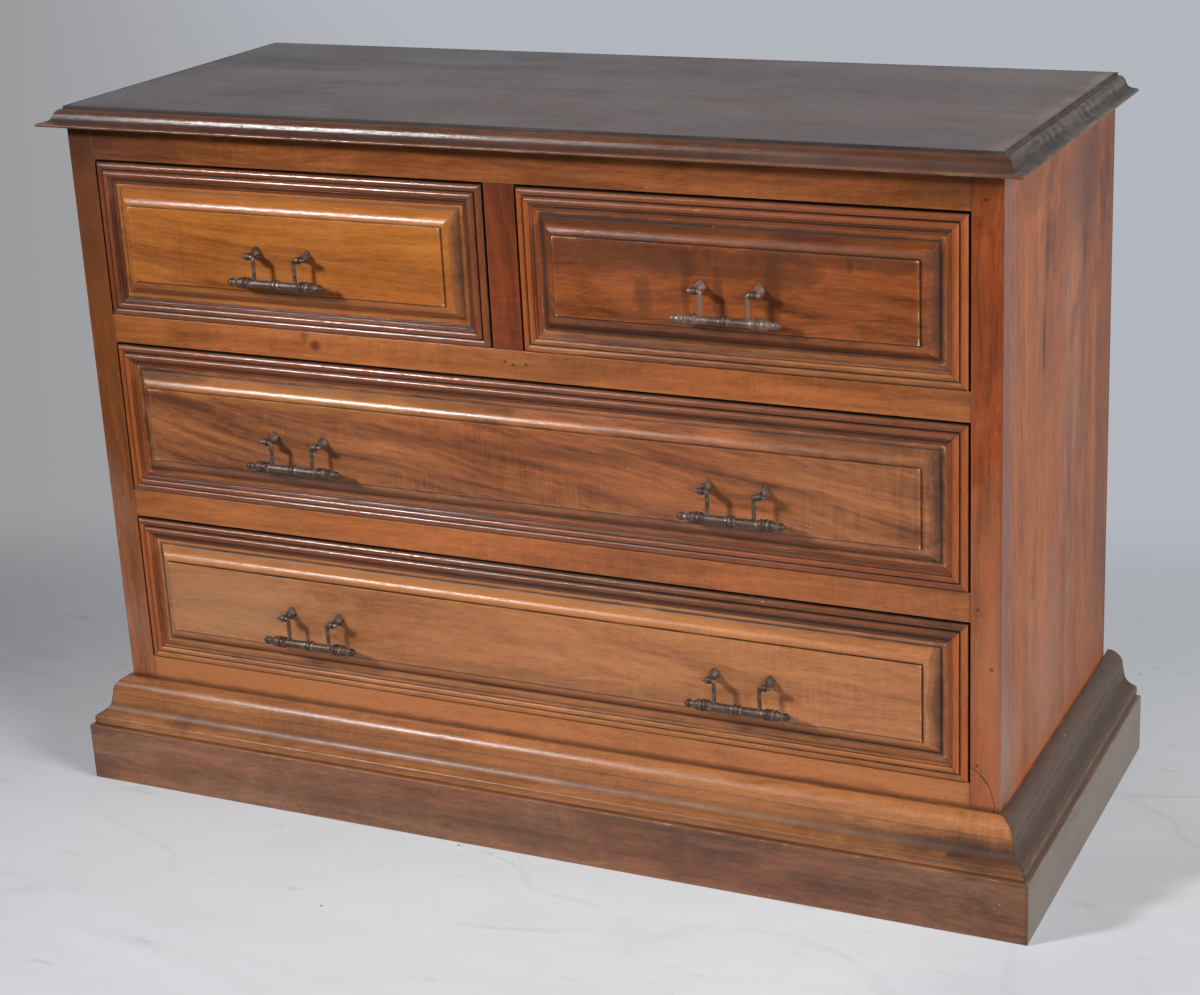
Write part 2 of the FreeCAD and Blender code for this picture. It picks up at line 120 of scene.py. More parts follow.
# Stem, name and place of each wood, its light grain and its dark grain
WOODS = (
    ("top", "Top", "the top", (0.13, 0.072, 0.056), (0.03, 0.017, 0.012)),
    ("edge", "Top moulding", "the moulding under the top", (0.095, 0.029, 0.011), (0.012, 0.005, 0.003)),
    ("grey", "Top moulding side", "the greyed right moulding", (0.17, 0.135, 0.105), (0.022, 0.016, 0.012)),
    ("frame", "Rails", "rails and stiles", (0.455, 0.155, 0.042), (0.205, 0.06, 0.015)),
    ("muntin", "Muntin", "the upright between short drawers", (0.11, 0.028, 0.009), (0.055, 0.012, 0.004)),
    ("side", "Sides", "the side panels", (0.37, 0.114, 0.034), (0.145, 0.038, 0.012)),
    ("gold", "Golden panel", "the golden drawer panel", (0.45, 0.15, 0.024), (0.19, 0.05, 0.008)),
    ("brown", "Brown panel", "the brown drawer panel", (0.38, 0.115, 0.026), (0.11, 0.026, 0.008)),
    ("dusty", "Dusty panel", "the dusty drawer panel", (0.4, 0.142, 0.048), (0.115, 0.034, 0.014)),
    ("tan", "Tan panel", "the tan drawer panel", (0.54, 0.215, 0.078), (0.25, 0.088, 0.028)),
    ("bead", "Drawer moulding", "the drawer mouldings", (0.165, 0.043, 0.012), (0.055, 0.014, 0.005)),
    ("upright", "Upright moulding", "upright drawer mouldings", (0.46, 0.12, 0.021), (0.19, 0.042, 0.009)),
    ("honey", "Honey moulding", "two lower drawer mouldings", (0.5, 0.18, 0.045), (0.15, 0.04, 0.01)),
    ("base", "Base moulding", "the base moulding", (0.46, 0.182, 0.06), (0.18, 0.056, 0.018)),
    ("plinth", "Plinth", "the plinth", (0.33, 0.145, 0.073), (0.112, 0.046, 0.024)),
    ("dull", "Base side", "the right base moulding", (0.112, 0.064, 0.037), (0.03, 0.018, 0.013)),
    # The plinth side's grey is partly painted sheen, the grazing reflection it shows; its wood is browner.
    ("sheen_greyed", "Plinth side", "the plinth's right board", (0.168, 0.124, 0.096), (0.03, 0.018, 0.013)),
)
# Stem, name, description and value of the other colours
COLOURS = (
    ("red", "Reddish grain", "Colour of the redder boards", (0.42, 0.075, 0.011)),
    ("rubbed", "Rubbed edges", "Colour where the varnish is rubbed thin", (0.43, 0.18, 0.06)),
    ("worn", "Worn edges", "Colour where the varnish is rubbed off", (0.56, 0.38, 0.26)),
    # Darkens grooves and hollows: old wax and soiling, and painted shade where less light reaches.
    ("grime", "Grime", "Colour of old wax and dirt in the grooves", (0.018, 0.01, 0.007)),
    ("bare", "Bare wood", "Unfinished wood inside the chest", (0.43, 0.27, 0.14)),
    ("metal", "Handle metal", "Dark bronzed skin of the handles", (0.122, 0.08, 0.058)),
    ("metal_worn", "Handle metal, rubbed", "Rubbed high places of the handles", (0.285, 0.19, 0.145)),
    ("copper", "Handle metal, coppery", "Skin of the handle that is rubbed brighter", (0.4, 0.255, 0.195)),
    ("floor", "Floor", "Paper under the chest", (0.685, 0.712, 0.745)),
    # Seen only by reflections and bounce light on the paper in front of the chest; the camera still sees
    # paper there. Painted shade, standing in for the dark room.
    ("room", "Room", "Dark floor beyond the paper", (0.06, 0.055, 0.05)),
    ("backdrop", "Backdrop", "Paper behind the chest", (0.45, 0.47, 0.515)),
    ("backdrop_left", "Backdrop, left", "Shaded left part of the backdrop", (0.315, 0.318, 0.325)),
)

# Colours of stain marks, of painted shade and of painted light
# Smoke stain colour, also used for painted shade on slopes and hollows that face away from the light.
SMOKE_AND_SHADE = (0.03, 0.011, 0.006)
SOOT = (0.012, 0.008, 0.007)
TIDE = (0.085, 0.026, 0.01)
# Painted light: a golden band on a panel's upper slope, which faces the lamps.
PAINTED_LIGHT_GOLD = (0.48, 0.185, 0.035)
# Pale greyish haze: partly dulled varnish, partly painted sheen where a face catches the light at a grazing
# angle.
HAZE_AND_SHEEN = (0.3, 0.19, 0.14)
CHALK = (0.17, 0.085, 0.055)
PALE = (0.21, 0.18, 0.13)
INK = (0.004, 0.003, 0.003)
KNOT = (0.07, 0.015, 0.006)
KNOT_RIM = (0.09, 0.02, 0.008)
AMBER = (0.45, 0.1, 0.02)
FADED = (0.45, 0.2, 0.09)
SHADE = (0.12, 0.042, 0.024)
STRAW = (0.5, 0.27, 0.13)

# Each drawer: the panel's wood, its tone at the two ends, redness and slope of the grain, the
# wood and tone of the upper and lower moulding, the wood of the upright ones, and the panel's
# finish and its stain marks with painted shade and painted light. Each mark is (colour, x, z,
# half width, half height, strength, raggedness), in metres.
PANELS = {
    "top_left_drawer": dict(
        wood="gold", tone=(-0.08, 0.0), red=0.0, slope=0.0,
        upper=("bead", 0.0), lower=("bead", 0.15), upright="bead",
        finish=dict(streaks=0.7, patches=0.6, ripple=0.15, dirt_and_shade=0.7, coat=0.17),
        stains_light_and_shade=(
            # Dark strip on the panel's right-hand slope, which faces away from the key lamp: painted shade.
            (SMOKE_AND_SHADE, -0.051, 0.67, 0.008, 0.07, 0.75, 1.4),
            (SMOKE_AND_SHADE, -0.455, 0.625, 0.06, 0.008, 0.45, 1.4),
            (SMOKE_AND_SHADE, -0.15, 0.66, 0.1, 0.012, 0.25, 1.6))),
    "top_right_drawer": dict(
        wood="brown", tone=(-0.2, -0.1), red=0.25, slope=0.0,
        upper=("bead", (0.3, 0.9)), lower=("honey", -0.1), upright="upright",
        finish=dict(streaks=0.5, patches=0.8, ripple=0.1, dirt_and_shade=1.2, coat=0.1),
        stains_light_and_shade=(
            (TIDE, 0.15, 0.697, 0.13, 0.022, 0.85, 1.8),
            (TIDE, 0.168, 0.66, 0.012, 0.024, 0.6, 1.8),
            (TIDE, 0.216, 0.672, 0.006, 0.045, 0.75, 1.6),
            (TIDE, 0.251, 0.668, 0.006, 0.04, 0.75, 1.6),
            (TIDE, 0.31, 0.665, 0.008, 0.04, 0.75, 1.6),
            (TIDE, 0.27, 0.695, 0.09, 0.018, 0.75, 1.6),
            (TIDE, 0.393, 0.705, 0.004, 0.01, 0.9, 0.8),
            (TIDE, 0.42, 0.712, 0.16, 0.012, 0.75, 1.4),
            (TIDE, 0.265, 0.729, 0.24, 0.01, 0.7, 0.8),
            (TIDE, 0.265, 0.611, 0.24, 0.007, 0.7, 0.8),
            (TIDE, 0.051, 0.67, 0.008, 0.07, 0.8, 0.8),
            # Dark strip on the panel's right-hand slope, which faces away from the key lamp: painted shade.
            (SMOKE_AND_SHADE, 0.479, 0.67, 0.01, 0.08, 0.7, 0.8))),
    "middle_drawer": dict(
        wood="dusty", tone=(-0.2, -0.05), red=0.0, slope=0.14,
        upper=("bead", 0.0), lower=("bead", 0.1), upright="upright",
        finish=dict(streaks=0.9, patches=0.6, ripple=0.3, dirt_and_shade=0.9, coat=0.35),
        stains_light_and_shade=(
            # Golden band along the panel's upper slope: painted light.
            (PAINTED_LIGHT_GOLD, -0.25, 0.508, 0.24, 0.014, 0.6, 1.2),
            (SMOKE_AND_SHADE, -0.46, 0.52, 0.06, 0.015, 0.6, 1.4),
            (SMOKE_AND_SHADE, -0.02, 0.475, 0.22, 0.012, 0.35, 1.6),
            (SMOKE_AND_SHADE, 0.4, 0.515, 0.12, 0.02, 0.5, 1.5),
            # Dark strip on the panel's right-hand slope, which faces away from the key lamp: painted shade.
            (SMOKE_AND_SHADE, 0.479, 0.457, 0.008, 0.08, 0.7, 1.2))),
    "bottom_drawer": dict(
        wood="tan", tone=(0.1, -0.08), red=0.0, slope=0.04,
        upper=("bead", 0.0), lower=("honey", 0.0), upright="upright",
        finish=dict(streaks=0.55, patches=0.6, ripple=0.3, dirt_and_shade=1.3, coat=0.12),
        stains_light_and_shade=(
            # Golden band along the panel's upper slope: painted light.
            (PAINTED_LIGHT_GOLD, -0.13, 0.298, 0.42, 0.013, 0.6, 1.2),
            (SMOKE_AND_SHADE, 0.0, 0.208, 0.3, 0.01, 0.35, 1.5),
            (STRAW, -0.38, 0.245, 0.14, 0.05, 0.4, 1.6),
            # Dark strip on the panel's right-hand slope, which faces away from the key lamp: painted shade.
            (SMOKE_AND_SHADE, 0.479, 0.245, 0.009, 0.08, 0.8, 1.2),
            (SMOKE_AND_SHADE, 0.4, 0.178, 0.1, 0.008, 0.6, 1.2))),
}


# ---------------------------------------------------------------- settings

def colour_setting(name, description, default):
    return FloatVectorProperty(name=name, description=description, subtype="COLOR",
                               size=3, min=0.0, max=1.0, default=default)


def length_setting(name, description, default, high):
    return FloatProperty(name=name, description=description, subtype="DISTANCE",
                         unit="LENGTH", min=0.0, max=high, default=default)


def share_setting(name, description, default):
    return FloatProperty(name=name, description=description, subtype="FACTOR",
                         min=0.0, max=1.0, default=default)


class ChestColours(bpy.types.PropertyGroup):
    """Light and dark grain of each wood, and the colours of wear, metal, paper and room."""
    __annotations__ = {
        f"{stem}_{shade}": colour_setting(f"{name}, {shade}", f"{shade.title()} grain of {place}", colour)
        for stem, name, place, *grains in WOODS
        for shade, colour in zip(("light", "dark"), grains)
    } | {stem: colour_setting(*words) for stem, *words in COLOURS}


class ChestSizes(bpy.types.PropertyGroup):
    """Sizes of the small things that wear and hand work leave on the wood."""
    arris: length_setting("Arris", "Radius of a worn edge on the frame", 0.0006, 0.003)
    fine_arris: length_setting("Fine arris", "Radius of a worn edge on the mouldings", 0.00025, 0.003)
    heavy_arris: length_setting("Heavy arris", "Radius of a worn edge on top and plinth", 0.0011, 0.003)
    unevenness: length_setting("Unevenness", "Height of the waves left by hand planing", 0.0001, 0.002)
    spacing: length_setting("Point spacing", "Distance between points along a board", 0.03, 0.2)
    wear: share_setting("Edge wear", "How much of the edges is rubbed bare", 0.55)
    # This share also scales the painted shade in grooves and hollows.
    dirt_and_shade: share_setting("Grime", "How much dirt lies in the grooves", 1.0)


class ChestLight(bpy.types.PropertyGroup):
    """Lamps and world, at a plain level."""
    key: FloatProperty(name="Key lamp", description="Lamp at the front left", unit="POWER",
                       min=0.0, default=9.0)
    side: FloatProperty(name="Side lamp", description="Soft lamp at the right", unit="POWER",
                        min=0.0, default=70.0)
    world: FloatProperty(name="World", description="Brightness of the world behind", min=0.0, default=0.33)
    room: FloatProperty(name="Room", description="Brightness of the world in front", min=0.0, default=0.1)


# ---------------------------------------------------------------- outlines

def arc_points(a, through, b):
    """Points after a along the circle through a, through and b. The centre is where the
    two perpendicular bisectors meet; the sweep is cut into three or more chords, each of
    at most 9 degrees and 1 mm of arc."""
    a, m, b = (complex(*p) for p in (a, through, b))
    w = (b - a) / (m - a)
    centre = a - (a - m) * (w - abs(w) ** 2) / (2j * w.imag)
    turn = np.angle((b - centre) / (a - centre))
    half = np.angle((m - centre) / (a - centre))
    if turn * half < 0 or abs(turn) < abs(half):
        turn -= math.copysign(2 * math.pi, turn)
    fewest, widest, longest = 3, math.radians(9), 1.0
    count = max(fewest, math.ceil(abs(turn) / widest), math.ceil(abs(turn * (a - centre)) / longest))
    spun = centre + (a - centre) * np.exp(1j * turn * np.arange(1, count + 1) / count)
    return np.stack([spun.real, spun.imag], 1)


def traced(outline):
    """The outline's corners as an array, with its arcs cut into chords."""
    start, steps = outline
    points = [np.array([start], float)]
    for step in steps:
        if isinstance(step[0], tuple):
            points.append(arc_points(points[-1][-1], *step))
        else:
            points.append(np.array([step], float))
    return np.concatenate(points)


def eased(points, radius, closed):
    """Round every sharp corner by a parabola, whose legs are radius times the tangent of
    half the turn, and at most a share of the side they lie on."""
    sharp, steepest, share, count = math.radians(18), 2.4, 0.4, 5
    before = points - np.roll(points, 1, 0)
    after = np.roll(points, -1, 0) - points
    turn = np.angle((after @ [1, 1j]) / (before @ [1, 1j]))
    if not closed:
        turn[[0, -1]] = 0
    made = []
    for p, u, v, angle in zip(points, before, after, np.abs(turn)):
        if angle < sharp:
            made.append(p[None])
            continue
        short, long = np.linalg.norm(u), np.linalg.norm(v)
        leg = min(radius * math.tan(min(angle, steepest) / 2), share * short, share * long)
        s = np.linspace(0, 1, count)[:, None]
        made.append((1 - s) ** 2 * (p - u / short * leg) + 2 * s * (1 - s) * p
                    + s ** 2 * (p + v / long * leg))
    return np.concatenate(made)


def guarded(points, spacing, closed):
    """Add points near the ends of straight stretches, and spacing apart on long ones, so
    that wear and shading stay near the edges."""
    near, far, straight, roomy = 1.0, 3.0, 2.6, 8.0
    ring = np.concatenate([points, points[:1]]) if closed else points
    made = []
    for a, b in zip(ring[:-1], ring[1:]):
        length = np.linalg.norm(b - a)
        marks = [0.0]
        if length > straight:
            marks += [near, length - near]
        if length > roomy:
            marks += list(np.linspace(far, length - far, math.ceil((length - 2 * far) / spacing) + 1))
        marks = np.array(sorted(marks))[:, None]
        made.append(a + (b - a) * marks / max(length, 1e-9))
    if not closed:
        made.append(points[-1:])
    return np.concatenate(made)


def prominence(points, closed, reach=1.5):
    """How far each point stands out, in millimetres, from the same outline smoothed by a
    bell curve of width reach along its length: more than 0 where a closed outline has an
    edge, and less in its grooves."""
    ring = np.concatenate([points, points[:1]]) if closed else points
    run = np.concatenate([[0], np.cumsum(np.linalg.norm(np.diff(ring, axis=0), axis=1))])
    step = 0.2
    walk = np.arange(0, run[-1], step)
    fine = np.stack([np.interp(walk, run, ring[:, k]) for k in (0, 1)], 1)
    pad = min(int(4 * reach / step), len(walk) - 1)
    way = {"mode": "wrap"} if closed else {"mode": "reflect", "reflect_type": "odd"}
    wide = np.pad(fine, ((pad, pad), (0, 0)), **way)
    bell = np.exp(-0.5 * (np.arange(-pad, pad + 1) * step / reach) ** 2)
    bell /= bell.sum()
    smooth = np.stack([np.convolve(wide[:, k], bell, mode="valid") for k in (0, 1)], 1)
    along = np.gradient(smooth, axis=0)
    normal = np.stack([along[:, 1], -along[:, 0]], 1)
    normal /= np.maximum(np.linalg.norm(normal, axis=1, keepdims=True), 1e-12)
    out = np.sum((fine - smooth) * normal, 1)
    area = np.sum(ring[:-1, 0] * ring[1:, 1] - ring[1:, 0] * ring[:-1, 1])
    return np.interp(run[:len(points)], walk, out) * (1 if area > 0 else -1)


def finished_outline(outline, radius, spacing=30.0, closed=True):
    """Outline in metres, and for each point its wear and its darkening from 0 to 1: how far it
    stands out, and how far it lies back in a groove or a wide hollow. The darkening is partly
    old wax and soiling and partly painted shade. Out is away from the inside of a closed
    outline, and towards the origin's side of an open one."""
    points = guarded(eased(traced(outline), radius / MM, closed), spacing, closed)
    facing = 1 if closed else -1
    out = prominence(points, closed) * facing
    # A wide hollow such as a cove is darkened too: painted shade where less light reaches.
    broad = prominence(points, closed, reach=4.5) * facing
    full_wear, full_grime_and_shade, full_broad_grime_and_shade = 0.45, 0.35, 2.0
    grime = np.maximum(-out / full_grime_and_shade, -broad / full_broad_grime_and_shade)
    return points * MM, np.clip(out / full_wear, 0, 1), np.clip(grime, 0, 1)


def rectangle(width, height):
    """Outline of a plain board, from its size in metres."""
    return ((0, 0), [(0, height / MM), (width / MM, height / MM), (width / MM, 0)])


# ---------------------------------------------------------------- surfaces

def dice(name):
    """Random numbers that depend only on a name."""
    return np.random.default_rng(zlib.crc32(name.encode()))


def waves(u, v, rng):
    """A gentle uneven height from -1 to 1: the sum of four sine waves in u and v with
    wavelengths of 0.06 to 0.64 m and random directions and phases."""
    height = np.zeros(np.broadcast(u, v).shape)
    for k in range(4):
        length = rng.uniform(0.06, 0.16) * (1 + k)
        angle, phase = rng.uniform(0, 2 * math.pi, 2)
        run = u * math.cos(angle) + v * math.sin(angle)
        height = height + np.sin(2 * math.pi * run / length + phase)
    return height / 4


def stops(length, step):
    """Distances along a piece: close together near its two ends and step apart between."""
    near = np.array([0, 0.4, 1.5, 4.0, 10.0]) * MM
    count = max(2, round((length - 2 * near[-1]) / step) + 1)
    middle = np.linspace(near[-1], length - near[-1], count)
    return np.concatenate([near[:-1], middle, length - near[-2::-1]])


def circle(around):
    """Cosines and sines of angles evenly spaced round a circle."""
    angle = np.arange(around) * 2 * math.pi / around
    return np.cos(angle), np.sin(angle)


class Shells:
    """Collects closed shells with their grain and finish, then makes one object."""

    def __init__(self, name):
        self.name = name
        self.points, self.faces, self.grain, self.finish = [], [], [], []
        self.count = 0

    def add(self, points, faces, grain, finish):
        """Add one closed shell. Its volume is the sum of the pyramids from the origin
        to its faces; where that is negative, the faces are turned over."""
        points = np.asarray(points, float).reshape(-1, 3)
        faces = [np.atleast_2d(face) for face in faces]
        volume = 0.0
        for face in faces:
            corners = points[face]
            centre = np.broadcast_to(corners.mean(1, keepdims=True), corners.shape)
            volume += np.einsum("ijk,ijk->", np.cross(corners, np.roll(corners, -1, 1)), centre)
        for face in faces:
            face = face if volume > 0 else face[:, ::-1]
            self.faces += (face + self.count).tolist()
        self.points.append(points)
        self.grain.append(np.broadcast_to(grain, points.shape) if np.ndim(grain) else points)
        self.finish.append(np.broadcast_to(finish, (len(points), 4)))
        self.count += len(points)

    def build(self, body, slot, material, nodes, sharp=32.0):
        """Make one object of the shells, which rides on a body in place of its CAD nodes.
        Edges that turn more than sharp degrees stay sharp."""
        mesh = bpy.data.meshes.new(self.name)
        mesh.from_pydata(np.concatenate(self.points).tolist(), [], self.faces)
        for name, kind, key, values in (("grain", "FLOAT_VECTOR", "vector", self.grain),
                                        ("finish", "FLOAT_COLOR", "color", self.finish)):
            layer = mesh.attributes.new(name, kind, "POINT")
            layer.data.foreach_set(key, np.concatenate(values).astype(np.float32).ravel())
        mesh.shade_smooth()
        mesh.set_sharp_from_angle(angle=math.radians(sharp))
        mesh.materials.append(material)
        mesh.validate()
        piece = bpy.data.objects.new(self.name, mesh)
        bpy.context.scene.collection.objects.link(piece)
        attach(piece, body)
        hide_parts(*nodes)


def tube_faces(rings, around):
    """Quads between neighbouring rings of a grid whose rings close on themselves."""
    i, j = np.meshgrid(np.arange(rings - 1), np.arange(around), indexing="ij")
    k = (j + 1) % around
    quads = np.stack([i * around + j, i * around + k, (i + 1) * around + k, (i + 1) * around + j], -1)
    return quads.reshape(-1, 4)


def capped(rings, around):
    """Faces of a closed tube: those between its rings and one at each end."""
    order = np.arange(around)
    return [tube_faces(rings, around), order[::-1], order + (rings - 1) * around]


def board_grain(shape, along, across, deep, rng, slope=0.0):
    """Place in the timber that a board was cut from: along the grain, across it and into
    it, from a random start and with a slight slope of the grain to the board."""
    start = rng.uniform(-4, 4, 3)
    slope = rng.uniform(-0.025, 0.025, 2) + (slope, 0)
    along, across, deep = (np.broadcast_to(v, shape) for v in (along, across, deep))
    return np.stack([along + start[0], across + start[1] + slope[0] * along,
                     deep + start[2] + slope[1] * along], -1).reshape(-1, 3)


def finish_values(shape, wear, grime, tone, red):
    """Wear, darkening (old wax, soiling and painted shade), tone and redness of each point, as
    the four channels of a colour.
    """
    return np.stack([np.broadcast_to(v, shape) for v in (wear, grime, tone, red)], -1).reshape(-1, 4)


def add_member(shells, outline, radius, origin, axes, span, lean=(0, 0), tone=0.0, red=0.0,
               joint=(0.6, 0.6), wave=1.0, rim=0.0):
    """A length of wood: a closed outline (u, h) carried along a straight line. The point
    is origin + out*u + up*h + along*(a + (b - a)*t), where the ends a and b lean with u
    for a mitre, and the sides then sink by the planing waves. axes are along, out and up;
    joint is the darkening at the two ends, for dark joints, and rim the darkening on the
    side where u is 0: a dark joint line against the carcass, and painted shade in the gap
    round a drawer."""
    sizes = bpy.context.scene.chest_sizes
    rng = dice(shells.name)
    end_reach, rim_depth, end_wear, odd_tone = 1.2 * MM, 0.2 * MM, 0.35, 0.06
    flat, wear, grime = finished_outline(outline, radius)
    along, out, up = (np.array(axis, float) for axis in axes)
    u, h = flat[:, 0, None], flat[:, 1, None]
    places = stops(span[1] - span[0], sizes.spacing)
    t = (places / places[-1])[None]
    a, b = span[0] + lean[0] * u, span[1] + lean[1] * u
    s = a + (b - a) * t
    bend = sizes.unevenness * wave * (waves(s, u * 3, rng) - 1) / 2
    share = np.abs(flat - flat.mean(0)) / np.maximum(np.ptp(flat, 0), 1e-9)
    sideways = (share[:, 0] > share[:, 1])[:, None]
    side_u = np.sign(u - flat[:, 0].mean()) * sideways
    side_h = np.sign(h - flat[:, 1].mean()) * ~sideways
    points = (np.array(origin, float) + (u + bend * side_u)[..., None] * out
              + (h + bend * side_h)[..., None] * up + s[..., None] * along)
    near_a, near_b = np.exp(-(s - a) / end_reach), np.exp(-(b - s) / end_reach)
    # Full darkening on the side where u is 0: a dark joint line on the carcass mouldings, and painted shade
    # in the gap round a drawer on the drawer mouldings.
    grime = np.maximum(grime, rim * (flat[:, 0] < rim_depth))
    dirt_and_shade = np.maximum(grime[:, None], np.maximum(joint[0] * near_a, joint[1] * near_b))
    rub = np.clip(wear[:, None] + end_wear * wear[:, None] * (near_a + near_b), 0, 1)
    rings, around = len(places), len(flat)
    shape = (around, rings)
    first, last = (tone, tone) if np.isscalar(tone) else tone
    tone = first + (last - first) * t
    grain = board_grain(shape, s, u, h, rng).reshape(around, rings, 3)
    finish = finish_values(shape, rub, dirt_and_shade, tone + rng.uniform(-odd_tone, odd_tone), red)
    finish = finish.reshape(around, rings, 4)
    shells.add(points.transpose(1, 0, 2), capped(rings, around), grain.transpose(1, 0, 2).reshape(-1, 3),
               finish.transpose(1, 0, 2).reshape(-1, 4))


def add_ringed_board(shells, outline, radius, low, high, place, tone, red=0.0, slope=0.0):
    """A board with a shaped edge: ring k is the rectangle from low to high set in by t_k
    at height h_k, the outline being (t, h). The last ring is filled by a grid and the
    first by one flat face. The shaped side sinks by the planing waves. place turns
    (a, b, height) into a point."""
    sizes = bpy.context.scene.chest_sizes
    rng = dice(shells.name)
    edge_height, corner_wear, corner_reach = 2 * MM, 1.2, 2 * MM
    edge, wear, grime = finished_outline(outline, radius, closed=False)
    fractions = []
    for k in (0, 1):
        places = stops(high[k] - low[k], sizes.spacing)
        fractions.append(places / places[-1])
    fa, fb = fractions
    na, nb = len(fa) - 1, len(fb) - 1
    round_a = np.concatenate([fa[:-1], np.ones(nb), fa[:0:-1], np.zeros(nb)])
    round_b = np.concatenate([np.zeros(na), fb[:-1], np.ones(na), fb[:0:-1]])
    t, h = edge[:, 0, None], edge[:, 1, None]
    a = low[0] + t + (high[0] - low[0] - 2 * t) * round_a
    b = low[1] + t + (high[1] - low[1] - 2 * t) * round_b
    inset = edge[-1, 0]
    field_a, field_b = np.meshgrid(fa[1:-1], fb[1:-1], indexing="ij")
    field_a = low[0] + inset + (high[0] - low[0] - 2 * inset) * field_a
    field_b = low[1] + inset + (high[1] - low[1] - 2 * inset) * field_b
    all_a = np.concatenate([a.ravel(), field_a.ravel()])
    all_b = np.concatenate([b.ravel(), field_b.ravel()])
    height = np.concatenate([np.broadcast_to(h, a.shape).ravel(), np.full(field_a.size, edge[-1, 1])])
    bend = sizes.unevenness * (waves(all_a, all_b, rng) - 1) / 2
    points = place(all_a, all_b, height + np.where(height > edge[0, 1] + edge_height, bend, 0))

    rings, around = len(edge), len(round_a)
    grid = np.empty((na + 1, nb + 1), int)
    last = (rings - 1) * around
    grid[:-1, 0] = last + np.arange(na)
    grid[na, :-1] = last + na + np.arange(nb)
    grid[:0:-1, nb] = last + na + nb + np.arange(na)
    grid[0, :0:-1] = last + 2 * na + nb + np.arange(nb)
    grid[1:-1, 1:-1] = rings * around + np.arange(field_a.size).reshape(field_a.shape)
    quads = np.stack([grid[:-1, :-1], grid[1:, :-1], grid[1:, 1:], grid[:-1, 1:]], -1).reshape(-1, 4)

    corner = sum(np.minimum(v - v.min(1, keepdims=True), v.max(1, keepdims=True) - v) for v in (a, b))
    knocked = 1 + corner_wear * np.exp(-corner / corner_reach)
    spread = np.concatenate([(wear[:, None] * knocked).ravel(), np.zeros(field_a.size)])
    dirt_and_shade = np.concatenate([np.repeat(grime, around), np.zeros(field_a.size)])
    grain = board_grain(all_a.shape, all_a, all_b, height, rng, slope)
    tone = np.interp(all_a, (low[0], high[0]), tone)
    shells.add(points, [tube_faces(rings, around), quads, np.arange(around)[::-1]], grain,
               finish_values(all_a.shape, spread, dirt_and_shade, tone, red))


def add_turned(shells, outline, radius, centre, tone, around=28):
    """A turned bar on the X axis: the outline (x, r) and its mirror image spun round, the
    point being (x, r cos a, r sin a). Its tone grows with the cube of the share of
    BAR_REACH that |x| has reached, from a least share."""
    edge, wear, grime = finished_outline(outline, radius, spacing=3.0, closed=False)
    x = np.concatenate([-edge[:0:-1, 0], edge[:, 0]])
    r, wear, grime = (np.concatenate([v[:0:-1], v])[:, None] for v in (edge[:, 1], wear, grime))
    cos, sin = circle(around)
    points = np.stack([np.broadcast_to(x[:, None], (len(x), around)), r * cos, r * sin], -1)
    least = 0.3
    tone = tone * np.clip(np.abs(x) / (BAR_REACH * MM), least, 1.0)[:, None] ** 3
    shells.add(points.reshape(-1, 3) + centre, capped(len(x), around), 0,
               finish_values((len(x), around), wear, grime, tone, 0))


def add_tube(shells, path, radii, centre, tone):
    """A round wire along a path in the XZ plane: each ring is the path's point plus
    radius times (normal cos a + Y sin a), the normal square to the path in the plane."""
    around, wear, grime = 16, 0.3, 0.1
    tangent = np.gradient(path, axis=0)
    tangent /= np.linalg.norm(tangent, axis=1, keepdims=True)
    normal = np.stack([tangent[:, 2], np.zeros(len(path)), -tangent[:, 0]], 1)
    cos, sin = circle(around)
    ring = normal[:, None] * cos[None, :, None] + np.array(BACK) * sin[None, :, None]
    points = path[:, None] + radii[:, None, None] * ring
    shells.add(points.reshape(-1, 3) + centre, capped(len(path), around), 0,
               finish_values((len(path), around), wear, grime, tone, 0))


# ---------------------------------------------------------------- shader nodes

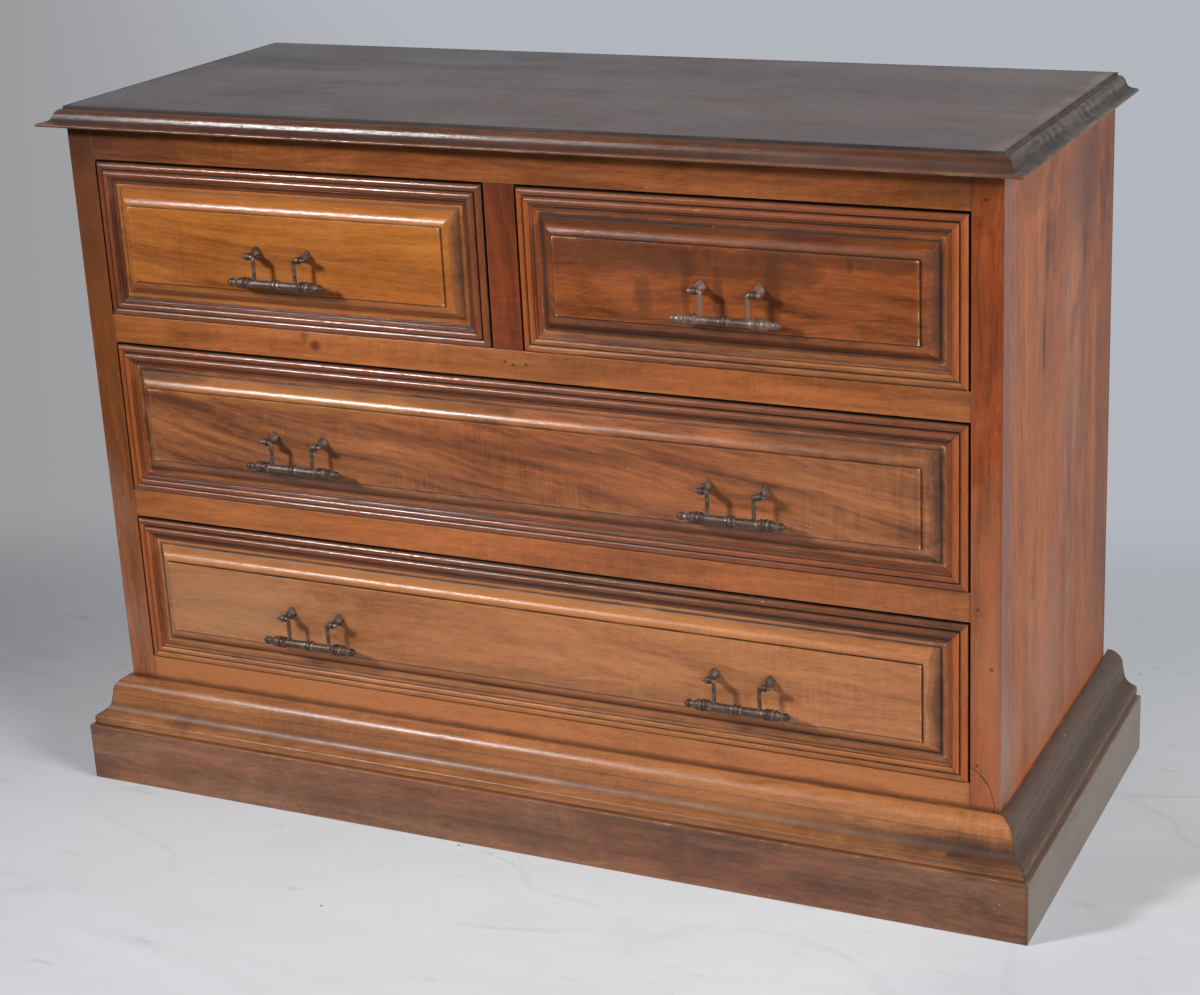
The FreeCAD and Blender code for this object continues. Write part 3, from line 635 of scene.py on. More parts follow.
class Wiring:
    """Adds nodes to a tree. Most calls give back the new node's main output. clamp keeps
    a result between 0 and 1."""

    def __init__(self, tree):
        self.tree = tree

    def fill(self, node, values):
        """Link or set a node's inputs. A colour has three numbers."""
        for key, value in values.items():
            socket = node.inputs[key]
            if isinstance(value, bpy.types.NodeSocket):
                self.tree.links.new(value, socket)
            elif socket.type == "RGBA":
                socket.default_value = (*value, 1.0)
            else:
                socket.default_value = value

    def node(self, kind, values=None, **settings):
        """A new node with its settings made and its inputs filled."""
        made = self.tree.nodes.new("ShaderNode" + kind)
        for key, value in settings.items():
            setattr(made, key, value)
        self.fill(made, values or {})
        return made

    def math(self, operation, a, b=0.0, clamp=False):
        return self.node("Math", {0: a, 1: b}, operation=operation, use_clamp=clamp).outputs[0]

    def plus(self, a, b, clamp=False):
        return self.math("ADD", a, b, clamp)

    def minus(self, a, b, clamp=False):
        return self.math("SUBTRACT", a, b, clamp)

    def times(self, a, b, clamp=False):
        return self.math("MULTIPLY", a, b, clamp)

    def vector(self, operation, a, b):
        return self.node("VectorMath", {0: a, 1: b}, operation=operation).outputs[0]

    def length(self, vector):
        return self.node("VectorMath", {0: vector}, operation="LENGTH").outputs["Value"]

    def axes(self, vector):
        """X, Y and Z of a vector."""
        return self.node("SeparateXYZ", {0: vector}).outputs

    def channels(self, colour):
        """Red, green and blue of a colour."""
        return self.node("SeparateColor", {0: colour}).outputs

    def place(self):
        """Place of a point on its piece, in metres."""
        return self.node("TexCoord").outputs["Object"]

    def noise(self, place, scale, detail=2.0, rough=0.5, warp=0.0):
        """Cloudy noise round 0.5, with scale clouds to the metre along each axis."""
        stretched = self.vector("MULTIPLY", place, scale)
        return self.node("TexNoise", {"Vector": stretched, "Scale": 1.0, "Detail": detail,
                                      "Roughness": rough, "Distortion": warp}).outputs["Fac"]

    def specks(self, place, scale, radii, shares, strength=1.0):
        """Round specks in a share of a grid of random cells, fading between two radii."""
        cells = self.node("TexVoronoi", {"Vector": place, "Scale": scale, "Randomness": 1.0}).outputs
        chance = self.channels(cells["Color"])[0]
        return self.times(self.smooth(cells["Distance"], *radii, 1.0, 0.0),
                          self.smooth(chance, *shares, 0.0, strength))

    def smooth(self, value, low, high, start=0.0, end=1.0):
        """Eases from start to end as the value goes from low to high."""
        return self.node("MapRange", {"Value": value, "From Min": low, "From Max": high,
                                      "To Min": start, "To Max": end},
                         interpolation_type="SMOOTHSTEP").outputs[0]

    def mix(self, factor, a, b, blend="MIX"):
        """The colour a with a share of b laid over it."""
        made = self.node("Mix", {0: factor}, data_type="RGBA", blend_type=blend)
        self.fill(made, {6: a, 7: b})
        return made.outputs[2]

    def bump(self, strength, distance, height):
        """Normal of a surface raised by distance where the height is 1."""
        values = {"Strength": strength, "Distance": distance, "Height": height}
        return self.node("Bump", values).outputs[0]

    def group(self, name, values):
        """Outputs of a node group that is placed with its own values."""
        return self.node("Group", values, node_tree=bpy.data.node_groups[name]).outputs


def new_group(name, inputs, outputs):
    """An empty node group with named sockets. Gives its wiring, inputs and output node."""
    tree = bpy.data.node_groups.new(name, "ShaderNodeTree")
    for way, sockets in (("INPUT", inputs), ("OUTPUT", outputs)):
        for socket, kind in sockets.items():
            tree.interface.new_socket(name=socket, in_out=way, socket_type="NodeSocket" + kind)
    source = tree.nodes.new("NodeGroupInput")
    return Wiring(tree), source.outputs, tree.nodes.new("NodeGroupOutput")


def new_material(name):
    """A material with its wiring and its shader."""
    material = bpy.data.materials.new(name)
    material.use_nodes = True
    return material, Wiring(material.node_tree), material.node_tree.nodes["Principled BSDF"]


def make_wood_group():
    """Wood figure: slow changes, long streaks, fine lines, smoky patches, cross ripple and
    pores, all of them noise stretched along the grain."""
    w, given, result = new_group(
        "Wood figure",
        {"Grain": "Vector", "Light": "Color", "Dark": "Color", "Red": "Color", "Tone": "Float",
         "Redness": "Float", "Streaks": "Float", "Patches": "Float", "Ripple": "Float", "Pores": "Float"},
        {"Color": "Color", "Height": "Float", "Shine": "Float"})
    place = given["Grain"]
    drift = w.noise(place, (3.0, 7.0, 7.0))
    sway = w.node("CombineXYZ", {"X": 0.0, "Y": w.times(drift, 0.06), "Z": w.times(drift, 0.03)}).outputs[0]
    place = w.vector("ADD", place, sway)
    slow = w.noise(place, (0.9, 7.0, 7.0), detail=1.0)
    streak = w.noise(place, (2.4, 38.0, 38.0), detail=4.0, rough=0.6, warp=0.4)
    band = w.noise(place, (5.0, 110.0, 110.0), detail=3.0, rough=0.55)
    line = w.noise(place, (11.0, 420.0, 420.0), detail=3.0, rough=0.6)
    fibre = w.noise(place, (34.0, 1700.0, 1700.0))
    mottle = w.noise(place, (55.0, 190.0, 190.0), detail=4.0, rough=0.7)
    patch = w.noise(place, (4.5, 15.0, 15.0), detail=4.0, rough=0.55, warp=0.8)
    ripple = w.noise(place, (330.0, 22.0, 22.0), warp=0.3)
    where = w.smooth(w.noise(place, (3.0, 11.0, 11.0)), 0.45, 0.62)
    value = w.plus(given["Tone"], 0.56)
    strong, cloudy = given["Streaks"], given["Patches"]
    for source, amount in (
            (slow, w.times(cloudy, 1.2)), (streak, w.times(strong, 2.0)), (band, w.times(strong, 1.4)),
            (line, 0.7), (fibre, 0.4), (mottle, 0.85), (patch, w.times(cloudy, 1.5)),
            (ripple, w.times(given["Ripple"], w.times(where, 2.2)))):
        value = w.plus(value, w.times(w.minus(source, 0.5), amount))
    smoke = w.times(w.smooth(patch, 0.55, 0.72), w.smooth(streak, 0.4, 0.6))
    value = w.minus(value, w.times(smoke, cloudy), clamp=True)
    colour = w.mix(value, given["Dark"], given["Light"])
    warm = w.smooth(w.noise(w.vector("ADD", place, (7.0, 3.0, 5.0)), (2.0, 9.0, 9.0)), 0.35, 0.75)
    warm = w.plus(w.times(warm, 0.3), given["Redness"], clamp=True)
    shade = w.plus(w.times(value, 0.85), 0.15)
    grey = w.node("CombineColor", {0: shade, 1: shade, 2: shade}).outputs[0]
    colour = w.mix(warm, colour, w.mix(1.0, given["Red"], grey, "MULTIPLY"))
    pore = w.noise(place, (70.0, 1500.0, 1500.0), detail=1.0)
    pore = w.times(w.smooth(pore, 0.6, 0.7), given["Pores"], clamp=True)
    colour = w.mix(w.times(pore, 0.7), colour, (0.02, 0.008, 0.004))
    height = w.plus(w.times(line, 0.5), w.times(fibre, 0.25))
    w.fill(result, {"Color": colour, "Height": w.minus(height, w.times(pore, 0.8)),
                    "Shine": w.minus(patch, 0.5)})


def make_wear_group():
    """Edges and grooves: the wear value broken up by noise bares the wood, and the darkening
    value darkens grooves and hollows, as old wax and soiling and as painted shade."""
    w, given, result = new_group(
        "Rubbed edges",
        {"Color": "Color", "Grain": "Vector", "Wear": "Float", "Grime": "Float", "Worn": "Color",
         "Rubbed": "Color", "Dirt": "Color", "Wear amount": "Float", "Dirt amount": "Float"},
        {"Color": "Color", "Bared": "Float", "Dirty": "Float"})
    broken = w.noise(given["Grain"], (38.0, 130.0, 130.0), detail=4.0, rough=0.65)
    wear = w.times(given["Wear"], given["Wear amount"])
    bared = w.smooth(w.plus(w.times(wear, 0.75), w.minus(broken, 0.5)), 0.42, 0.68)
    rubbed = w.times(wear, w.smooth(broken, 0.3, 0.7, 0.1, 0.5))
    clotted = w.noise(given["Grain"], (22.0, 60.0, 60.0), detail=3.0)
    dirty_and_shaded = w.times(given["Grime"], w.smooth(clotted, 0.25, 0.6, 0.6, 1.0))
    dirty_and_shaded = w.times(dirty_and_shaded, given["Dirt amount"], clamp=True)
    colour = w.mix(dirty_and_shaded, given["Color"], given["Dirt"])
    colour = w.mix(rubbed, colour, given["Rubbed"])
    colour = w.mix(w.times(bared, 0.8), colour, given["Worn"])
    w.fill(result, {"Color": colour, "Bared": bared, "Dirty": dirty_and_shaded})


def make_marks_group():
    """Marks of use: pale specks, thin scratches and a thin uneven film of dust."""
    w, given, result = new_group("Marks of use", {"Place": "Vector", "Amount": "Float"},
                                 {"Specks": "Float", "Scratches": "Float", "Film": "Float"})
    place = given["Place"]
    speck = w.specks(place, 70.0, (0.05, 0.09), (0.93, 0.95))
    bent = w.vector("ADD", place, w.node("TexNoise", {"Vector": place, "Scale": 9.0}).outputs["Color"])
    lines = w.noise(bent, (2.0, 90.0, 55.0), detail=1.0)
    scratch = w.smooth(w.math("ABSOLUTE", w.minus(lines, 0.5)), 0.0, 0.006, 1.0, 0.0)
    scratch = w.times(scratch, w.smooth(w.noise(place, (7.0, 7.0, 7.0)), 0.58, 0.66))
    film = w.smooth(w.noise(place, (6.0, 6.0, 6.0), detail=5.0, rough=0.65), 0.35, 0.75)
    for value, socket in ((speck, "Specks"), (scratch, "Scratches"), (film, "Film")):
        w.fill(result, {socket: w.times(value, given["Amount"], clamp=True)})


def make_stain_group():
    """Spot mask, used for stain marks, painted shade and painted light: an ellipsoid round a
    centre, its edge pushed about by noise, with a slightly darker rim."""
    w, given, result = new_group("Smoky stain", {"Place": "Vector", "Centre": "Vector", "Size": "Vector",
                                                 "Raggedness": "Float", "Softness": "Float"},
                                 {"Mask": "Float"})
    away = w.vector("DIVIDE", w.vector("SUBTRACT", given["Place"], given["Centre"]), given["Size"])
    away = w.length(away)
    ragged = w.minus(w.noise(given["Place"], (24.0, 24.0, 24.0), detail=4.0, rough=0.6), 0.5)
    away = w.plus(away, w.times(ragged, w.times(given["Raggedness"], 1.3)))
    rim = w.times(w.smooth(away, 0.66, 0.92), w.smooth(away, 0.97, 1.15, 1.0, 0.0))
    core = w.smooth(away, w.minus(1.1, given["Softness"]), 1.1, 1.0, 0.0)
    w.fill(result, {"Mask": w.plus(w.times(core, 0.8), w.times(rim, 0.3))})


def make_crack_group():
    """Crack: a thin line on an arc in the XZ plane, kept between two heights and right of
    the arc's centre, that wavers with noise."""
    w, given, result = new_group("Crack", {"Place": "Vector", "Centre": "Vector", "Radius": "Float",
                                           "Low": "Float", "High": "Float", "Width": "Float"},
                                 {"Mask": "Float"})
    away = w.length(w.vector("MULTIPLY", w.vector("SUBTRACT", given["Place"], given["Centre"]), (1, 0, 1)))
    waver = w.times(w.minus(w.noise(given["Place"], (90, 90, 90), detail=3.0), 0.5), 0.006)
    off = w.math("ABSOLUTE", w.minus(w.plus(away, waver), given["Radius"]))
    line = w.minus(1.0, w.math("DIVIDE", off, given["Width"]), clamp=True)
    x, _, z = w.axes(given["Place"])
    inside = w.times(w.math("GREATER_THAN", z, given["Low"]), w.math("LESS_THAN", z, given["High"]))
    beyond = w.math("GREATER_THAN", x, w.axes(given["Centre"])[0])
    w.fill(result, {"Mask": w.times(line, w.times(inside, beyond))})


def grain_colours(stem):
    """Light and dark grain of a wood, from the settings."""
    colours = bpy.context.scene.chest_colours
    return {"Light": getattr(colours, stem + "_light"), "Dark": getattr(colours, stem + "_dark")}


def wood_material(name, stem, streaks, patches, rough, coat, ripple=0.2, coat_rough=0.16, wear=1.0,
                  dirt_and_shade=1.0, marks=0.3, bump=0.25, ruddy=None, spots=(), crack=None):
    """Varnished wood. Each of the spots is (colour, centre, size, strength, raggedness), in
    metres. The crack is (centre, radius, low, high, width)."""
    sizes, colours = bpy.context.scene.chest_sizes, bpy.context.scene.chest_colours
    material, w, shader = new_material(name)
    grain = w.node("Attribute", attribute_name="grain").outputs["Vector"]
    state = w.node("Attribute", attribute_name="finish").outputs
    parts = w.channels(state["Color"])
    place = w.place()
    figure = w.group("Wood figure", {
        "Grain": grain, **grain_colours(stem), "Red": ruddy or colours.red, "Tone": parts[2],
        "Redness": state["Alpha"], "Streaks": streaks, "Patches": patches, "Ripple": ripple, "Pores": 0.5})
    colour = figure["Color"]
    for paint, centre, size, strength, ragged in spots:
        mask = w.group("Smoky stain", {"Place": place, "Centre": centre, "Size": size, "Raggedness": ragged,
                                       "Softness": 0.55 if paint == TIDE else 0.75})[0]
        colour = w.mix(w.times(mask, strength), colour, paint)
    if crack:
        values = dict(zip(("Centre", "Radius", "Low", "High", "Width"), crack))
        colour = w.mix(w.group("Crack", {"Place": place, **values})[0], colour, SOOT)
    worn = w.group("Rubbed edges", {
        "Color": colour, "Grain": grain, "Wear": parts[0], "Grime": parts[1], "Worn": colours.worn,
        "Rubbed": colours.rubbed, "Dirt": colours.grime, "Wear amount": wear * sizes.wear,
        "Dirt amount": dirt_and_shade * sizes.dirt_and_shade})
    mark = w.group("Marks of use", {"Place": place, "Amount": marks})
    colour = w.mix(w.times(mark["Specks"], 0.8), worn["Color"], colours.worn)
    colour = w.mix(w.times(mark["Scratches"], 0.35), colour, colours.worn)
    colour = w.mix(w.times(mark["Film"], 0.04), colour, (0.45, 0.42, 0.42))
    roughness = w.plus(w.times(figure["Shine"], 0.25), rough)
    roughness = w.plus(roughness, w.times(worn["Bared"], 0.15))
    roughness = w.plus(roughness, w.times(worn["Dirty"], 0.25))
    roughness = w.plus(roughness, w.times(mark["Film"], 0.12), clamp=True)
    coating = w.minus(coat, w.times(worn["Bared"], 0.5 * coat))
    coating = w.minus(coating, w.times(worn["Dirty"], 0.7 * coat))
    coating = w.minus(coating, w.times(mark["Film"], 0.5 * coat), clamp=True)
    orange_peel = w.noise(place, (260.0, 260.0, 260.0), detail=4.0, rough=0.6)
    height = w.plus(w.times(figure["Height"], 0.5), w.times(orange_peel, 0.5))
    normal = w.bump(bump, 0.0006, height)
    w.fill(shader, {"Base Color": colour, "Roughness": roughness, "Coat Weight": coating, "Normal": normal,
                    "Coat Normal": normal, "Coat Roughness": coat_rough, "Specular IOR Level": 0.35})
    return material


def bare_material(name, colour, axis):
    """Unfinished wood of a CAD piece, with its grain along an axis of the chest."""
    material, w, shader = new_material(name)
    turned = {"x": (0, 0, 0), "y": (0, 0, -math.pi / 2)}[axis]
    place = w.node("Mapping", {"Vector": w.place(), "Rotation": turned}).outputs[0]
    light = [min(1.0, c * 1.25) for c in colour]
    dark = [c * 0.62 for c in colour]
    figure = w.group("Wood figure", {
        "Grain": place, "Light": light, "Dark": dark, "Red": colour, "Tone": 0.0,
        "Redness": 0.0, "Streaks": 0.6, "Patches": 0.3, "Ripple": 0.05, "Pores": 0.5})
    roughness = w.plus(w.times(figure["Shine"], 0.2), 0.68)
    w.fill(shader, {"Base Color": figure["Color"], "Roughness": roughness,
                    "Normal": w.bump(0.3, 0.0006, figure["Height"])})
    return material


def metal_material():
    """Cast metal with a dark bronzed skin, rubbed pale on its high places."""
    colours = bpy.context.scene.chest_colours
    material, w, shader = new_material("aged bronze")
    place = w.place()
    parts = w.channels(w.node("Attribute", attribute_name="finish").outputs["Color"])
    mottle = w.noise(place, (160.0, 160.0, 160.0), detail=4.0, rough=0.65)
    rub = w.plus(w.times(parts[0], 0.55), w.minus(mottle, 0.5))
    rub = w.smooth(rub, 0.05, 0.5)
    dark = w.mix(w.smooth(mottle, 0.35, 0.65), [c * 0.55 for c in colours.metal], colours.metal)
    colour = w.mix(rub, dark, colours.metal_worn)
    colour = w.mix(parts[2], colour, colours.copper)
    colour = w.mix(w.times(parts[1], 0.5, clamp=True), colour, (0.012, 0.009, 0.008))
    roughness = w.smooth(rub, 0.0, 1.0, 0.48, 0.3)
    normal = w.bump(0.5, 0.0004, w.noise(place, (420.0, 420.0, 420.0), detail=3.0))
    w.fill(shader, {"Base Color": colour, "Roughness": roughness, "Normal": normal, "Metallic": 0.5})
    return material


def dress(nodes, material):
    """Give CAD nodes a material in all their slots."""
    for name in nodes:
        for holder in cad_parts[name].material_slots:
            holder.material = material


def front_spots(y, deep, rows):
    """Stain marks, painted shade and painted light at depth y. A row is (colour, x, z, half
    width, half height, strength, raggedness).
    """
    return [(paint, (x, y, z), (wide, deep, tall), *rest) for paint, x, z, wide, tall, *rest in rows]


# ---------------------------------------------------------------- pieces

def carcass_length(node, slot, wood, *shape, **finish):
    """A length of wood of the carcass, as an object of its own."""
    shells = Shells(node + "_worn")
    add_member(shells, *shape, **finish)
    shells.build("carcass", slot, wood, [node])


def moulding_round_carcass(stem, outline, radius, slot, inner, lengths):
    """Front, left and right lengths of a moulding, mitred at the two front corners. inner is
    how far they stand off the carcass; lengths gives the wood and the tone of each."""
    mitre_dirt = 0.7
    low_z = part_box(stem + "_front")[0].z
    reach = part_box("side_panel_right")[1].x + inner
    start_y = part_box("front_stile_left")[0].y - inner
    flank = (start_y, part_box(stem + "_left")[1].y)
    for side, origin, axes, span, lean, end_dirt in (
            ("front", (0, start_y, low_z), (RIGHT, AHEAD, UP), (-reach, reach), (-1, 1), mitre_dirt),
            ("left", (-reach, 0, low_z), (BACK, LEFT, UP), flank, (-1, 0), 0.0),
            ("right", (reach, 0, low_z), (BACK, RIGHT, UP), flank, (-1, 0), 0.0)):
        wood, tone = lengths[side]
        carcass_length(stem + "_" + side, slot, wood, outline, radius, origin, axes, span, lean,
                       tone=tone, joint=(mitre_dirt, end_dirt), rim=1.0)


class CHEST_OT_top(bpy.types.Operator):
    """Make the top board and the moulding under its edge"""
    bl_idname = "chest.top"
    bl_label = "Top"

    def execute(self, context):
        sizes = context.scene.chest_sizes
        low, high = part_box("top_board")
        scuffs = [(PALE, (high.x, y, high.z), (0.018, 0.07, 0.02), 0.6, 1.6)
                  for y in (-0.16, 0.0, 0.12, 0.22)]
        ink = (INK, (-0.3765, 0.0877, high.z), (0.05, 0.03, 0.02), 0.6, 1.4)
        top = wood_material("dark top wood", "top", streaks=0.7, patches=0.9, ripple=0.1, rough=0.34,
                            coat=0.08, coat_rough=0.25, wear=0.7, marks=0.8, bump=0.2,
                            ruddy=(0.085, 0.036, 0.025), spots=scuffs + [ink])
        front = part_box("top_moulding_front")[0].y
        chalk = [(CHALK, (x, front + 0.01, 0.806), (0.07, 0.05, 0.006), 0.65, 1.6) for x in (0.33, 0.42, 0.5)]
        edge = wood_material("dark edge wood", "edge", streaks=0.5, patches=0.7, rough=0.3, coat=0.22,
                             coat_rough=0.15, wear=0.8, marks=0.8, bump=0.7, spots=chalk)
        grey = wood_material("greyed edge wood", "grey", streaks=0.6, patches=1.2, ripple=1.1, rough=0.45,
                             coat=0.1, coat_rough=0.25, wear=0.6, marks=0.8, bump=0.5,
                             ruddy=(0.09, 0.05, 0.035))
        shells = Shells("top_board_worn")
        thick = (high.z - low.z) / MM
        outline = ((0, 0), [(0, thick), (TOP_EDGE, thick)])
        add_ringed_board(shells, outline, sizes.heavy_arris, low, high,
                         lambda a, b, h: np.stack([a, b, low.z + h], -1), (-0.25, 0.25))
        shells.build("carcass", "top_wood", top, ["top_board"])
        lengths = {"front": (edge, (-0.4, 0.3)), "left": (edge, -0.3), "right": (grey, -0.1)}
        moulding_round_carcass("top_moulding", TOP_MOULDING, sizes.fine_arris * 2, "top_moulding_wood",
                               TOP_OVERHANG * MM, lengths)
        return {"FINISHED"}


class CHEST_OT_sides(bpy.types.Operator):
    """Make the two side panels"""
    bl_idname = "chest.sides"
    bl_label = "Side panels"

    def execute(self, context):
        outer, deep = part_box("side_panel_right")[1].x, 0.02
        rows = (  # as front_spots has them, with y for x
            (AMBER, 0.0, 0.125, 0.26, 0.014, 0.6, 0.8),
            # The pale haze patches here are partly painted sheen from the side lamp, partly dulled varnish.
            (HAZE_AND_SHEEN, -0.168, 0.4, 0.016, 0.6, 0.12, 0.4),
            (HAZE_AND_SHEEN, -0.165, 0.18, 0.022, 0.08, 0.45, 0.8),
            (SMOKE_AND_SHADE, 0.228, 0.45, 0.008, 1.0, 0.8, 0.4),
            (HAZE_AND_SHEEN, 0.06, 0.58, 0.05, 0.25, 0.3, 1.6),
            (HAZE_AND_SHEEN, -0.02, 0.22, 0.1, 0.12, 0.3, 1.6),
            (SMOKE_AND_SHADE, -0.057, 0.6, 0.006, 0.045, 0.75, 0.9),
            (SMOKE_AND_SHADE, -0.048, 0.69, 0.01, 0.05, 0.55, 1.2),
            (SMOKE_AND_SHADE, -0.045, 0.64, 0.03, 0.14, 0.4, 1.2),
            (SMOKE_AND_SHADE, 0.1, 0.74, 0.16, 0.09, 0.55, 1.4),
            (SMOKE_AND_SHADE, 0.11, 0.62, 0.025, 0.2, 0.45, 1.4),
            (SMOKE_AND_SHADE, 0.19, 0.45, 0.03, 0.35, 0.4, 1.2),
            (SMOKE_AND_SHADE, -0.1, 0.77, 0.08, 0.03, 0.45, 1.6),
        )
        spots = [(paint, (outer, y, z), (deep, wide, tall), *rest) for paint, y, z, wide, tall, *rest in rows]
        wood = wood_material("side wood", "side", streaks=0.55, patches=0.8, ripple=0.05, rough=0.48,
                             coat=0.05, coat_rough=0.3, marks=0.3, ruddy=(0.4, 0.12, 0.028), spots=spots)
        for side, inward in (("left", RIGHT), ("right", LEFT)):
            node = "side_panel_" + side
            low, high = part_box(node)
            face_x = low.x if side == "left" else high.x
            carcass_length(node, "side_wood", wood, rectangle(high.x - low.x, high.y - low.y),
                           context.scene.chest_sizes.arris, (face_x, low.y, 0), (UP, inward, BACK),
                           (low.z, high.z), joint=(0, 0), wave=0.4)
        return {"FINISHED"}


class CHEST_OT_front_frame(bpy.types.Operator):
    """Make the stiles, rails and muntin of the front"""
    bl_idname = "chest.front_frame"
    bl_label = "Front frame"

    def execute(self, context):
        arris = context.scene.chest_sizes.arris
        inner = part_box("front_stile_left")[1].x
        front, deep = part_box("top_rail")[0].y, 0.02
        rows = [
            (SMOKE_AND_SHADE, -0.5, 0.78, 0.16, 0.035, 0.65, 1.4),
            (SMOKE_AND_SHADE, -0.535, 0.7, 0.025, 0.1, 0.4, 1.2),
            (KNOT, -0.242, 0.567, 0.007, 0.006, 1.0, 1.0),
            (KNOT_RIM, -0.255, 0.577, 0.006, 0.009, 0.7, 1.0),
            (SMOKE_AND_SHADE, -0.4, 0.565, 0.04, 0.02, 0.25, 1.8),
            (SMOKE_AND_SHADE, 0.02, 0.565, 0.2, 0.03, 0.3, 1.6),
            (SMOKE_AND_SHADE, 0.0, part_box("base_moulding_front")[1].z, 3.0, 0.006, 0.75, 1.0),
            (SMOKE_AND_SHADE, 0.1, 0.35, 0.12, 0.02, 0.3, 1.8),
            (SMOKE_AND_SHADE, 0.5, 0.785, 0.05, 0.02, 0.4, 1.5),
        ]
        nail_holes = ((-0.005, 0.568), (0.0046, 0.5653), (0.0203, 0.5666), (0.52, 0.3507),
                      (0.5346, 0.2865), (0.5266, 0.7744), (0.519, 0.176))
        rows += [(SOOT, x, z, 0.0022, 0.0022, 0.95, 0.3) for x, z in nail_holes]
        spots = front_spots(front, deep, rows)
        finish = dict(streaks=0.7, patches=0.7, ripple=0.25, rough=0.32, coat=0.2, coat_rough=0.2, wear=0.6,
                      marks=0.35)
        wood = wood_material("rail wood", "frame", spots=spots, **finish)
        # Pale haze on the lower stiles is partly painted sheen; the shade strip is painted shade on the right
        # stile's side face.
        haze_and_shade_spots = front_spots(front, deep, (
            (HAZE_AND_SHEEN, -0.535, 0.2, 0.02, 0.06, 0.3, 1.2),
            (HAZE_AND_SHEEN, -0.535, 0.35, 0.02, 0.06, 0.3, 1.2),
            (FADED, 0.535, 0.2, 0.03, 0.16, 0.35, 1.2),
            (FADED, 0.535, 0.36, 0.03, 0.16, 0.35, 1.2)))
        haze_and_shade_spots.append((SHADE, (0.545, -0.19, 0.4), (0.003, 0.022, 2.0), 0.85, 0.15))
        haze_and_shade_spots.append((HAZE_AND_SHEEN, (0.545, -0.19, 0.18), (0.003, 0.022, 0.08), 0.5, 0.8))
        stile = wood_material("stile wood", "frame", spots=haze_and_shade_spots + spots,
                              crack=((0.49, front, 0.131), 0.0475, 0.124, 0.181, 0.0011), **finish)
        for node, tone, red in (
                ("top_rail", (-0.25, -0.25), 0.15), ("upper_drawer_rail", (0.08, -0.12), 0.0),
                ("lower_drawer_rail", (0.08, 0.0), 0.05), ("bottom_rail", (0.42, 0.25), -0.3)):
            low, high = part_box(node)
            carcass_length(node, "frame_wood", wood, rectangle(high.y - low.y, high.z - low.z), arris,
                           (0, low.y, low.z), (RIGHT, BACK, UP), (inner, -inner), tone=tone, red=red)
        dark = wood_material("muntin wood", "muntin", **finish)
        for node, tone, red, wood in (
                ("front_stile_left", (0.15, -1.1), 0.2, stile),
                ("front_stile_right", (0.1, -0.1), 0.8, stile),
                ("centre_muntin", -0.1, 0.2, dark)):
            low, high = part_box(node)
            if node == "centre_muntin":
                low.z, high.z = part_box("upper_drawer_rail")[1].z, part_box("top_rail")[0].z
            carcass_length(node, "frame_wood", wood, rectangle(high.x - low.x, high.y - low.y), arris,
                           (low.x, low.y, 0), (UP, RIGHT, BACK), (low.z, high.z), tone=tone, red=red,
                           wave=0.4)
        return {"FINISHED"}


